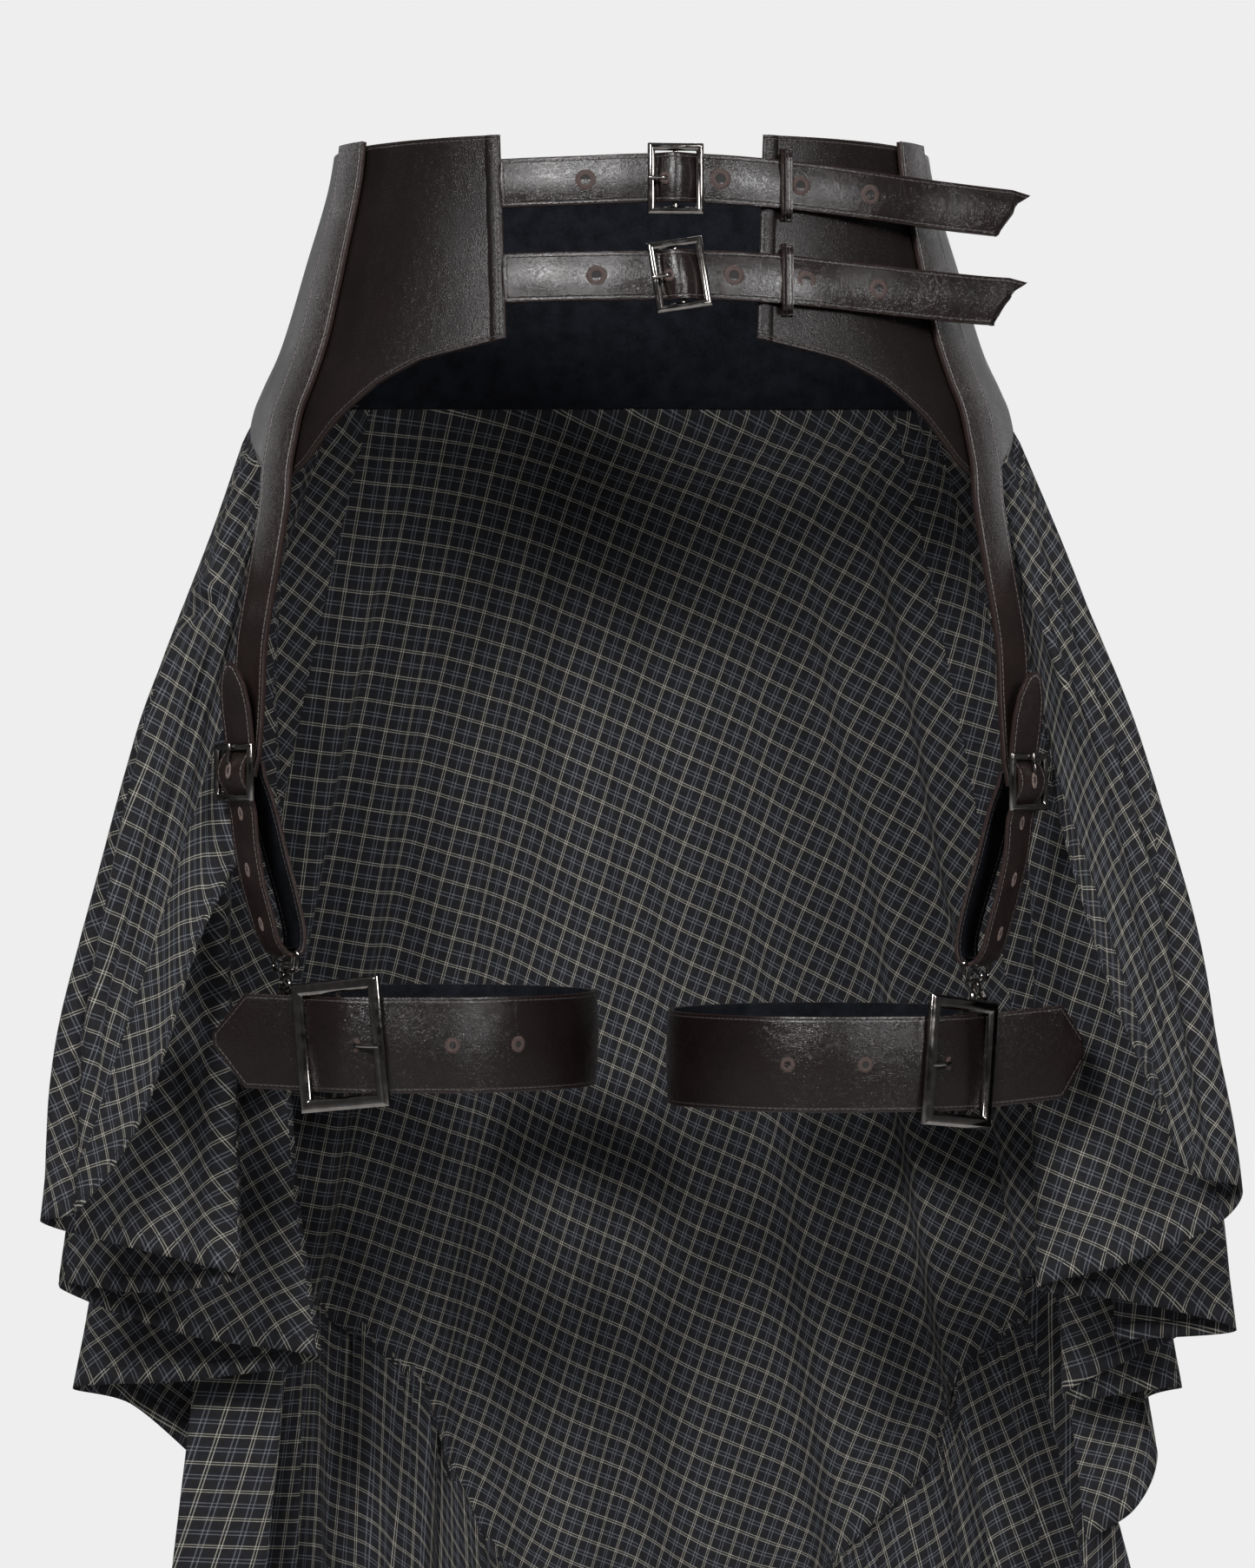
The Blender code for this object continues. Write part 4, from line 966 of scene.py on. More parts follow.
def gathered(grid, pitch, depth, reach, seed):
    """Small gathers below a seam, uneven in width and length, that fade down the cloth."""
    across = arc_lengths(grid, 0)[:, 0]
    down = arc_lengths(grid, 1)
    wander = np.array([noise.noise(Vector((s / 31.0, seed, 0.0))) for s in across])
    reaches = reach * (1 + 0.6 * np.array([noise.noise(Vector((s / 17.0, seed, 5.0))) for s in across]))
    phase = 2 * math.pi * across / pitch + 5.0 * wander
    fade = np.exp(-down / np.maximum(reaches[:, None], 4.0)) * soft_step(1.5, 7.0, down)
    wave = np.sin(phase)[:, None] * depth * fade
    return grid + sheet_normals(grid) * wave[..., None]


# A crease follows points on the cloth, each a fold place and a share of the drop
Crease = namedtuple("Crease", "width depth points")
CREASE_GAIN = 1.45


def creased(grid, folds, creases):
    """Presses soft troughs and ridges into the sheet along runs of points on the cloth."""
    columns, rows = grid.shape[:2]
    across = arc_lengths(grid, 0).mean(axis=1)
    down = arc_lengths(grid, 1).mean(axis=0)
    spots = np.stack(np.meshgrid(across, down, indexing="ij"), axis=-1)
    field = np.zeros((columns, rows))
    for crease in creases:
        marks = []
        for place, share in crease.points:
            marks.append((np.interp(place / folds, np.linspace(0, 1, columns), across), share * down[-1]))
        marks = resampled(marks, 6)
        start, way = marks[:-1], np.diff(marks, axis=0)
        off = spots[:, :, None] - start
        share = np.clip((off * way).sum(-1) / np.maximum((way**2).sum(-1), 1e-9), 0, 1)
        gap = np.linalg.norm(off - share[..., None] * way, axis=-1)
        nearest = gap.argmin(axis=-1)[..., None]
        along = (np.take_along_axis(share, nearest, -1)[..., 0] + nearest[..., 0]) / len(way)
        gap = np.take_along_axis(gap, nearest, -1)[..., 0]
        ends = soft_step(-0.02, 0.2, along) * soft_step(1.05, 0.8, along)
        field += CREASE_GAIN * crease.depth * np.exp(-((gap / crease.width) ** 2)) * ends
    return grid + sheet_normals(grid) * field[..., None]


def fold_lines(side, folds, steps_down):
    """The points down each fold line, from its seam to its hem."""
    down = np.linspace(0, 1, steps_down + 1)[:, None]
    lines = []
    for fold in folds:
        seam_z = fold.seam_z
        seam_out = 0.0
        if seam_z is None:
            seam_z = yoke_low(fold.angle) + YOKE_TUCK
            seam_out = PANEL_OUT
        seam = on_hips(side, fold.angle, seam_z, seam_out)
        hem = np.array((side * fold.hem_x, fold.hem_y, fold.hem_z))
        bow = np.array((side * fold.bow_out, fold.bow_back, 0.0))
        lines.append(seam + (hem - seam) * down + bow * 4 * down * (1 - down))
    return np.array(lines)


def straight(place):
    """A line at one fold place from seam to hem."""
    return ((place, 0.0), (place, 1.0))


DRAPE_FINE = 13
DRAPE_GRIDS = {}
DRAPE_CUTS = {}
DRAPE_ROWS = 92
DRAPE_GRAIN = {"right": 28.0, "left": -28.0}
# From each line of fold places and shares on, the pattern is turned by this angle
Turned = namedtuple("Turned", "angle line")
DRAPE_TURNS = {
    "right": table(
        Turned,
        (45.0, straight(0.0)),
        (0.0, ((6.75, 0.0), (6.70, 0.23), (6.57, 0.4), (6.45, 0.55), (6.30, 0.71), (6.2, 0.89), (6.15, 1.0))),
        (10.0, straight(7.5)),
        (-3.0, straight(9.0)),
        (-13.0, straight(11.0)),
        (45.0, straight(13.0)),
        (20.0, straight(15.2)),
    ),
    "left": table(
        Turned,
        (-10.0, straight(0.0)),
        (-30.0, ((9.0, 0.2), (7.65, 0.41), (7.25, 0.52), (6.95, 0.64), (6.8, 0.76), (6.5, 0.9), (6.4, 1.0))),
        (-27.0, straight(9.0)),
        (-62.0, straight(11.3)),
        (-36.0, straight(13.0)),
        (-20.0, straight(15.0)),
        (8.0, straight(18.0)),
    ),
}
BAND_TURN = {"right": -12.0, "left": -62.0}
BAND_COLUMNS = 90
BAND_ROWS = 26
BAND_OVERHANG = 0.4
BAND_GAP = 0.25
DRAPE_CREASES = {
    "right": table(
        Crease,
        (3.4, 2.6, ((6.55, 0.20), (6.40, 0.40), (6.28, 0.56), (6.1, 0.8), (6.0, 0.97))),
        (2.6, -2.2, ((6.80, 0.20), (6.66, 0.40), (6.55, 0.56), (6.35, 0.8), (6.25, 1.0))),
        (3.2, -1.7, ((5.75, 0.18), (5.85, 0.42), (5.92, 0.66), (5.98, 0.95))),
        (3.0, 1.5, ((5.45, 0.17), (5.50, 0.40), (5.70, 0.62), (5.85, 0.8))),
        (2.8, -1.8, ((5.20, 0.16), (5.22, 0.40), (5.45, 0.60), (5.7, 0.75))),
        (3.4, 2.0, ((5.20, 0.13), (5.8, 0.17), (6.7, 0.20))),
        (2.8, -2.0, ((5.25, 0.16), (5.9, 0.20), (6.6, 0.235))),
        (4.5, 1.6, ((6.2, 0.0), (6.1, 0.1), (6.0, 0.2))),
        (4.0, -1.6, ((5.7, 0.0), (5.6, 0.08), (5.5, 0.15))),
        (6.0, 2.0, ((7.3, 0.3), (7.1, 0.6), (6.9, 0.95))),
        (4.0, 3.0, ((7.7, 0.35), (7.9, 0.7), (8.0, 1.04))),
        (3.6, -3.4, ((8.0, 0.45), (8.25, 0.75), (8.4, 1.04))),
        (3.6, 3.0, ((8.35, 0.35), (8.6, 0.7), (8.7, 1.04))),
        (3.4, -3.0, ((8.6, 0.4), (8.85, 0.75), (9.0, 1.04))),
        (4.4, 2.4, ((9.6, 0.3), (9.9, 0.75), (10.2, 1.04))),
        (5.0, -2.6, ((10.3, 0.4), (10.6, 0.8), (10.8, 1.04))),
        (5.0, 2.6, ((12.2, 0.35), (12.4, 0.7), (12.6, 1.04))),
        (5.0, -2.8, ((12.9, 0.3), (13.1, 0.7), (13.3, 1.04))),
        (5.0, 2.4, ((13.8, 0.4), (14.1, 0.8), (14.2, 1.04))),
        (10.0, 2.0, ((15.0, 0.2), (15.4, 0.95))),
    ),
    "left": table(
        Crease,
        (3.2, 2.2, ((6.4, 0.10), (6.7, 0.40), (7.1, 0.8), (7.2, 0.97))),
        (3.2, -2.0, ((5.8, 0.08), (6.2, 0.40), (6.5, 0.8))),
        (3.4, 1.6, ((5.2, 0.12), (5.6, 0.45), (6.0, 0.9))),
        (3.0, -1.6, ((4.9, 0.2), (5.2, 0.5), (5.6, 0.85))),
        (5.0, 2.2, ((7.6, 0.05), (8.0, 0.35), (8.6, 0.9))),
        (5.0, -2.2, ((7.2, 0.05), (7.5, 0.35), (8.0, 0.8))),
        (8.0, 2.0, ((10.2, 0.3), (10.5, 0.95))),
        (9.0, -2.2, ((13.0, 0.3), (13.3, 0.95))),
        (9.0, 2.0, ((16.2, 0.2), (16.8, 0.95))),
        (9.0, -2.0, ((19.0, 0.2), (19.5, 0.95))),
    ),
}


def make_drape(label, side):
    folds = DRAPE_FOLDS[label]
    last = len(folds) - 1
    grid = resampled(fold_lines(side, folds, DRAPE_ROWS - 1), DRAPE_FINE)
    columns = len(grid)
    cut = finer(flat_cut(resampled(fold_lines(side, folds, 10), 3)), columns, DRAPE_ROWS)
    DRAPE_CUTS[label] = cut
    rough = creased(grid, last, DRAPE_CREASES[label])
    rough = rippled(rough, 3.1 * side, long_mm=70.0, wide_mm=24.0, depth=2.4)
    rough = gathered(rough, pitch=7.5, depth=1.1, reach=22.0, seed=1.7 * side)
    calm_back = soft_step(columns - 1, columns - 12, np.arange(columns))
    grid = grid + (rough - grid) * calm_back[:, None, None]
    pivot = cut[int(columns * 0.35), DRAPE_ROWS // 2]
    fold_at = np.linspace(0, last, columns)[:, None]
    which = np.zeros(cut.shape[:2], int)
    cuts = []
    for k, turned in enumerate(DRAPE_TURNS[label]):
        places, shares = zip(*turned.line)
        which[fold_at >= np.interp(np.linspace(0, 1, DRAPE_ROWS), shares, places)] = k
        cuts.append(turned_cut(cut, turned.angle, pivot))
    material = plaid_material("drape_plaid_" + label, 5.0, DRAPE_GRAIN[label])
    outward = (side, -0.4, 0.1)
    name = "drape_cloth_" + label
    obj = lay_sheet(name, grid, CLOTH, [material], ("low",), outward, cut, (np.array(cuts), which))
    finish_piece(obj, "plaid", "side_drape_" + label)
    return grid


def make_edge_band(label, side):
    """The faced strip along the front edge, laid on the drape's own points."""
    reaches = EDGE_BAND[label]
    drape = DRAPE_GRIDS[label]
    places = np.linspace(reaches[0].fold, reaches[-1].fold, BAND_COLUMNS)
    at = np.interp(places, [row.fold for row in reaches], range(len(reaches)))
    spots = places / (len(DRAPE_FOLDS[label]) - 1) * (len(drape) - 1)
    strip = []
    cut = []
    for column, flat, outward, reach_up in zip(
        smooth_through(drape, spots),
        smooth_through(DRAPE_CUTS[label], spots),
        unit(smooth_through(sheet_normals(drape), spots)),
        smooth_through([row.reach for row in reaches], at),
    ):
        steps = np.linalg.norm(np.diff(column, axis=0), axis=1)
        from_hem = np.concatenate([np.cumsum(steps[::-1])[::-1], [0.0]])
        toward_front = outward if outward[-1][1] < 0 else -outward
        at = np.interp(-np.linspace(reach_up, -BAND_OVERHANG, BAND_ROWS), -from_hem, np.arange(len(column)))
        strip.append(smooth_through(column, at) + smooth_through(toward_front, at) * (CLOTH + BAND_GAP))
        cut.append(smooth_through(flat, at))
    strip = np.array(strip)
    material = plaid_material("band_plaid_" + label, 1.8, DRAPE_GRAIN[label] + BAND_TURN[label])
    outward = (0.3 * side, -1, 0)
    obj = lay_sheet("band_cloth_" + label, strip, CLOTH, [material], LONG_SIDES, outward, np.array(cut))
    finish_piece(obj, "plaid", "edge_band_" + label)


def tier_seam_point(share):
    turn = math.pi * share
    depth = math.sin(turn)
    row = TIER_SEAM["right" if share < 0.5 else "left"]
    z = row.side_z + (TIER_SEAM_CENTRE_Z - row.side_z) * depth**row.sharpness
    return np.array((-BACK_HALF_WIDTH * math.cos(turn), BACK_SIDE_Y + BACK_DEPTH * depth, z))


def back_lines(steps_down):
    """Fold lines of the back skirt, from the right drape's last line to the left drape's."""
    fine = 60
    down = np.linspace(0, 1, steps_down + 1)
    lines = []
    ends = {}
    for label, side in SIDES.items():
        line = fold_lines(side, DRAPE_FOLDS[label][-1:], fine)[0]
        stop = np.interp(-TIER_SEAM[label].side_z, -line[:, 2], np.arange(fine + 1))
        ends[label] = smooth_through(line, down * stop)
    lines.append(ends["right"])
    first_angle = DRAPE_FOLDS["right"][-1].angle
    last_angle = 360 - DRAPE_FOLDS["left"][-1].angle
    for i in range(1, BACK_FOLDS):
        share = i / BACK_FOLDS
        angle = first_angle + (last_angle - first_angle) * share
        seam_z = yoke_low(min(angle, 360 - angle)) + YOKE_TUCK
        seam = on_hips(-1, angle, seam_z, PANEL_OUT)
        hem = tier_seam_point(share)
        swing = BACK_WAVE * (-1 if i % 2 else 1)
        hem = hem + swing * unit(np.array((hem[0], hem[1] - BACK_SIDE_Y / 2, 0.0)))
        lines.append(seam + (hem - seam) * down[:, None])
    lines.append(ends["left"])
    return np.array(lines)


def make_back_skirt():
    grid = resampled(back_lines(BACK_ROWS - 1), 14)
    columns = len(grid)
    cut = finer(flat_cut(resampled(back_lines(12), 3)), columns, BACK_ROWS)
    rough = rippled(grid, 8.3, long_mm=110.0, wide_mm=26.0, depth=3.0)
    rough = gathered(rough, pitch=7.0, depth=1.2, reach=34.0, seed=4.4)
    rough = gathered(rough[:, ::-1], pitch=7.0, depth=0.9, reach=18.0, seed=6.4)[:, ::-1]
    at = np.arange(columns)
    calm_edges = np.minimum(soft_step(0, 10, at), soft_step(columns - 1, columns - 11, at))
    calm_top = soft_step(0.0, 6.0, np.arange(BACK_ROWS))
    grid = grid + (rough - grid) * (calm_edges[:, None] * calm_top)[..., None]
    material = plaid_material("back_plaid", 0.9, 22.0)
    obj = lay_sheet("back_cloth", grid, CLOTH, [material], ("low",), (0, 1, 0), cut)
    finish_piece(obj, "plaid", "back_skirt")


def flounce_hem_point(share):
    turn = math.pi * share
    depth = math.sin(turn)
    return np.array(
        (
            FLOUNCE_CENTRE_X - FLOUNCE_HALF_WIDTH * math.cos(turn),
            FLOUNCE_SIDE_Y + FLOUNCE_DEPTH * depth,
            FLOUNCE_SIDE_Z + (FLOUNCE_CENTRE_Z - FLOUNCE_SIDE_Z) * depth**1.3,
        )
    )


def flounce_lines():
    """Seam and hem points of the flounce, from its right front edge round to the left."""
    ends = {label: [(pleat[:3], pleat[3:]) for pleat in pleats] for label, pleats in FLOUNCE_PLEATS.items()}
    points = []
    last = FLOUNCE_WAVES * 2
    back_seam = back_lines(7)
    for i in range(last + 1):
        uneven = noise.noise(Vector((i * 0.83, 2.7, 6.1)))
        inner = (i + 0.35 * uneven * (0 < i < last)) / last
        share = FLOUNCE_FIRST_SHARE + (1 - 2 * FLOUNCE_FIRST_SHARE) * inner
        seam = smooth_through(back_seam, [share * BACK_FOLDS])[0, -1] + UP * FLOUNCE_SEAM_RISE
        hem = flounce_hem_point(share)
        swing = 1 if i % 2 else -1
        outward = unit(np.array((hem[0], hem[1] - BACK_SIDE_Y / 2, 0.0)))
        seam = seam + outward * (swing * FLOUNCE_GATHER + 0.9)
        points.append((seam, hem + outward * swing * FLOUNCE_WAVE * (1 + 0.5 * uneven)))
    return np.array(ends["right"] + points + ends["left"][::-1])


def make_flounce():
    ends = flounce_lines()
    down = np.linspace(-FLOUNCE_TUCK, 1, FLOUNCE_ROWS)[None, :, None]
    grid = resampled(ends[:, :1] + (ends[:, 1:] - ends[:, :1]) * down, 9)
    along = arc_lengths(grid, 0)[:, -1:]
    drop = arc_lengths(grid, 1)
    lean = np.radians(np.interp(along, (0.0, along.max()), FLOUNCE_LEAN))
    steps = np.diff(along, axis=0, prepend=0.0)
    level = np.cumsum(np.cos(lean) * steps, axis=0)
    rise = np.cumsum(np.sin(lean) * steps, axis=0)
    cut = np.stack([level * 0.75 - drop * np.sin(lean), rise - drop * np.cos(lean)], axis=-1)
    grid = gathered(grid, pitch=5.0, depth=2.0, reach=24.0, seed=9.1)
    grid = rippled(grid, 5.5, long_mm=60.0, wide_mm=18.0, depth=2.2)
    material = plaid_material("flounce_plaid", 5.0)
    obj = lay_sheet("flounce_cloth", grid, CLOTH, [material], ("low",), (0, 1, 0), cut)
    finish_piece(obj, "plaid", "back_flounce")


# Leather


def front_edge_x(z):
    drop = (TOP_EDGE - z) / (TOP_EDGE - FRONT_PANEL_LOW[0].z)
    return FRONT_EDGE_TOP_X + (FRONT_EDGE_LOW_X - FRONT_EDGE_TOP_X) * min(drop, 1)


def make_front_panel(label, side):
    shares = np.concatenate([np.linspace(0, ROLL_SHARE, 15), np.linspace(ROLL_SHARE, 1, 48)[1:]])
    grid = []
    for share, low_z in zip(shares, between_rows(FRONT_PANEL_LOW, shares, "share", "z")):
        column = []
        for z in np.linspace(TOP_EDGE, low_z, 54):
            edge_angle = angle_at_x(front_edge_x(z), z, PANEL_OUT)
            angle = edge_angle + (SEAM_ANGLE - edge_angle) * share
            column.append(on_hips(side, angle, z, PANEL_OUT))
        grid.append(column)
    grid = rippled(np.array(grid), 2.0 + side, long_mm=40.0, wide_mm=26.0, depth=0.35)
    from_edge = arc_lengths(grid, 0)
    swell = np.sqrt(np.clip(1 - ((from_edge - ROLL_WIDTH / 2) / (ROLL_WIDTH / 2)) ** 2, 0, 1))
    grid = grid - np.array((0.0, 1.0, 0.0)) * (swell * ROLL_RISE)[..., None]
    names = ("panel_leather_" + label, "front_panel_" + label)
    lay_leather(*names, grid, LEATHER, "panel", (0.3 * side, -1, 0), bevel=0.7, sewn=("first", "top", "low"))


def make_yoke(label, node, side, first_angle, last_angle, columns, outward):
    grid = []
    for angle in np.linspace(first_angle, last_angle, columns):
        heights = np.linspace(TOP_EDGE, yoke_low(min(angle, 360 - angle)), 48)
        grid.append([on_hips(side, angle, z, PANEL_OUT) for z in heights])
    grid = rippled(np.array(grid), 6.0 + side, long_mm=40.0, wide_mm=26.0, depth=0.3)
    lay_leather("yoke_leather_" + label, node, grid, LEATHER, "yoke", outward, bevel=0.5)


def strap_grid(middle, across, widths, steps):
    half = np.reshape(widths, (-1, 1, 1)) / 2
    share = np.linspace(-1, 1, steps)[None, :, None]
    return middle[:, None] + across[:, None] * half * share


def garter_frame(side, z):
    """A garter strap's middle at a height, its way across and its way out."""
    x, y, facing = (between_rows(GARTER_LINE, z, "z", column) for column in ("out_x", "y", "facing"))
    facing = math.radians(facing)
    outward = np.array((side * math.sin(facing), -math.cos(facing), 0.0))
    return np.array((side * x, y, z)), -side * level_right(outward), outward


def make_garter_strap(label, side):
    middle = []
    across = []
    for z in GARTER_HIP_HEIGHTS:
        point = on_hips(side, between_rows(GARTER_ON_HIP, z, "z", "angle"), z, GARTER_OUT)
        middle.append(point)
        across.append(-side * level_right(outward_at(point)))
    stops = [(z, 0.0) for z in GARTER_FREE_HEIGHTS]
    stops += [(GARTER_BUCKLE_Z[label] + rise, out) for rise, out in STRAP_END]
    for z, out in stops:
        point, side_way, outward = garter_frame(side, z)
        middle.append(point + outward * out)
        across.append(side_way)
    grid = strap_grid(resampled(middle, 8), unit(resampled(across, 8)), GARTER_WIDTH, 15)
    names = ("strap_leather_" + label, "garter_strap_" + label)
    lay_leather(*names, grid, STRAP_LEATHER, "strap", (0.6 * side, -0.8, 0), bevel=0.7, pad=0.5)


# The buckle's own eyelet and the three spare ones, up from the buckle bar
SLIT_RISES = (3.0, -19.0, -42.0, -65.0)


def make_adjuster(label, side):
    buckle_z = GARTER_BUCKLE_Z[label]
    middle = []
    across = []
    for row in ADJUSTER:
        point, side_way, outward = garter_frame(side, buckle_z + row.rise)
        middle.append(point + outward * row.out)
        across.append(side_way)
    middle = resampled(middle, 7)
    across = unit(resampled(across, 7))
    places = np.linspace(0, len(ADJUSTER) - 1, len(middle))
    widths = np.interp(places, range(len(ADJUSTER)), [row.width for row in ADJUSTER])
    grid = strap_grid(middle, across, widths, 13)
    outer = garter_frame(side, buckle_z - 30)[2]
    names = ("adjuster_leather_" + label, "garter_adjuster_" + label)
    lay_leather(*names, grid, THIN_LEATHER, "strap", outer, bevel=0.5, lining=STRAP_LINING, pad=0.5)
    for k, rise in enumerate(SLIT_RISES):
        near = [i for i in range(len(middle)) if abs(middle[i][2] - buckle_z - rise) < 2.5]
        i = max(near, key=lambda i: np.dot(middle[i], outer))
        way = unit(middle[i - 1] - middle[i + 1])
        way = way if way[2] > 0 else -way
        right = across[i] if np.dot(np.cross(across[i], way), outer) > 0 else -across[i]
        centre = middle[i] + np.cross(right, way) * (THIN_LEATHER / 2 + 0.6)
        wide, slit = (1.55, 0.7) if rise < 0 else (1.7, 0.8)
        eyelet(f"slit_eyelet_{label}_{k}", centre, right, way, wide, slit, stretch=1.9, thread=PALE_THREAD)


def belt_edge(belt, rise):
    line = []
    for stop in belt.stops:
        near_bar = abs(stop.x - belt.buckle_x) < WAIST_FRAME.width / 2
        lean = rise * math.tan(math.radians(belt.roll)) if near_bar else 0.0
        line.append(hip_front(stop.x - lean, stop.z + rise, stop.out))
    seam_x = front_edge_x(belt.buckle_z + rise) - SEAM_GAP
    line[0] = hip_front(-seam_x, belt.stops[0].z + rise, PANEL_OUT)
    line += [np.array((stop.x, stop.y + rise * BELT_TILT, stop.z + rise)) for stop in belt.tail]
    return resampled(line, 8)


def make_belt(label, belt):
    rises = np.linspace(BELT_WIDTH / 2, -BELT_WIDTH / 2, 15)
    grid = np.swapaxes(np.array([belt_edge(belt, rise) for rise in rises]), 0, 1)
    # The slanted tip is drawn out above and held back below
    along = unit(grid[-1] - grid[-3])
    share = np.linspace(0, 1, len(rises))
    reach = 8.5 - 16.5 * share - 2.2 * np.sin(math.pi * share)
    sink = 1.5 * soft_step(0.3, 0.0, share) - 1.2 * soft_step(0.85, 1.0, share)
    for k in range(TIP_HELD_BACK):
        ease = soft_step(0, 1, (k + 1) / TIP_HELD_BACK)
        grid[len(grid) - TIP_HELD_BACK + k] += along * (np.minimum(reach, 0.0) * ease)[:, None]
    tip = []
    for part in np.linspace(0, 1, TIP_STEPS + 1)[1:]:
        tip.append(grid[-1] + along * (np.maximum(reach, 0.0) * part)[:, None] - UP * (sink * part)[:, None])
    grid = np.concatenate([grid, tip])
    grid = rippled(grid, 1.0 if label == "upper" else 4.0, long_mm=26.0, wide_mm=22.0, depth=0.35)
    names = ("belt_leather_" + label, "waist_belt_" + label)
    lay_leather(*names, grid, STRAP_LEATHER, "belt", (0, -1, 0), bevel=0.8, sewn=SIDES_AND_TIP, pad=BELT_PAD)


def make_buckle_tab(label, belt):
    x = belt.buckle_x
    stops = ((46.0, 1.5), (38.0, 1.2), (x + 11, 1.2), (x + 5, 1.8), (x - 1.5, 2.9))
    lines = []
    for rise in np.linspace(BELT_WIDTH / 2 - 1, 1 - BELT_WIDTH / 2, 13):
        z = belt.buckle_z + rise
        line = [hip_front(front_edge_x(z) - SEAM_GAP, z, PANEL_OUT)]
        line += [hip_front(stop_x, z, out) for stop_x, out in stops]
        lines.append(resampled(line, 6))
    grid = np.swapaxes(np.array(lines), 0, 1)
    names = ("tab_leather_" + label, "buckle_tab_" + label)
    lay_leather(*names, grid, THIN_LEATHER, "belt", (0, -1, 0), bevel=0.5)


def make_keeper(label, belt):
    panel_out = PANEL_OUT + LEATHER / 2 + SEAM_GAP + THIN_LEATHER / 2
    over_out = BELT_OUT_AT_KEEPER + STRAP_LEATHER / 2 + SEAM_GAP + THIN_LEATHER / 2
    half = ((KEEPER_HALF_HEIGHT, panel_out), (13.0, panel_out), (11.7, over_out - 0.6), (8.0, over_out))
    profile = half + ((0.0, over_out),) + tuple((-rise, out) for rise, out in reversed(half))
    middle = []
    across = []
    for rise, out in profile:
        z = belt.buckle_z - 1.0 + rise
        middle.append(hip_front(belt.keeper_x, z, out))
        across.append(level_right(hip_outward(belt.keeper_x, z)))
    grid = strap_grid(resampled(middle, 6), unit(resampled(across, 6)), KEEPER_WIDTH, 9)
    ridge = 0.35 * np.cos(np.linspace(-math.pi, math.pi, 9))
    grid = grid + sheet_normals(grid) * -ridge[None, :, None]
    names = ("keeper_leather_" + label, "keeper_" + label)
    lay_leather(*names, grid, THIN_LEATHER, "belt", (0, -1, 0), bevel=0.4, lining=None)


def thigh_point(thigh, side, angle, out):
    turn = math.radians(angle)
    x = thigh.centre_x + (thigh.half_width + out) * math.sin(turn)
    return np.array((side * x, -(thigh.half_depth + out) * math.cos(turn), thigh.z))


def thigh_outward(thigh, side, angle):
    turn = math.radians(angle)
    return unit((side * math.sin(turn) / thigh.half_width, -math.cos(turn) / thigh.half_depth, 0.0))


def thigh_buckle_frame(label, side):
    thigh = THIGHS[label]
    place = thigh_point(thigh, side, thigh.buckle_angle, THIGH_BUCKLE_OUT)
    outward = thigh_outward(thigh, side, thigh.buckle_angle)
    return place, outward, side * level_right(outward)


def make_thigh_band(label, side):
    thigh = THIGHS[label]
    tab = TABS[label]
    place, outward, toward_side = thigh_buckle_frame(label, side)
    first_angle = thigh.buckle_angle + THIGH_BAND_START
    line = []
    for angle in np.linspace(first_angle, first_angle + THIGH_BAND_SWEEP, 28):
        line.append(thigh_point(thigh, side, angle, THIGH_BAND_OUT))
    line += run_of(place, toward_side, outward, THIGH_PASS)
    turn = math.radians(tab.turn)
    tab_way = toward_side * math.cos(turn) + outward * math.sin(turn) + UP * tab.rise
    line += run_of(line[-1], tab_way, outward, [(tab.corner_reach * part, 0.0) for part in (0.35, 0.7, 1.0)])
    middle = resampled(line, 6)
    tip = np.linspace(0, 1, 12)[1:]
    half = np.full(len(middle), THIGH_BAND_WIDTH / 2)
    half = np.concatenate([half, THIGH_BAND_WIDTH / 2 + (tab.tip_half_height - THIGH_BAND_WIDTH / 2) * tip])
    middle = np.vstack([middle, middle[-1] + tab_way * (tab.tip_reach - tab.corner_reach) * tip[:, None]])
    grid = middle[:, None] + UP * (half[:, None, None] * np.linspace(1, -1, 19)[None, :, None])
    grid = rippled(grid, 7.0 * side, long_mm=30.0, wide_mm=34.0, depth=0.55)
    names = ("thigh_leather_" + label, "thigh_band_" + label)
    more = {"bevel": 0.8, "sewn": SIDES_AND_TIP, "probe": 0.87, "pad": BELT_PAD}
    lay_leather(*names, grid, STRAP_LEATHER, "thigh", outward, **more)


# Metal


def rounded(model, edges, offset, segments):
    settings = {"profile": 0.5, "affect": "EDGES", "material": -1, "clamp_overlap": True}
    bmesh.ops.bevel(model, geom=edges, offset=offset * MM, segments=segments, **settings)


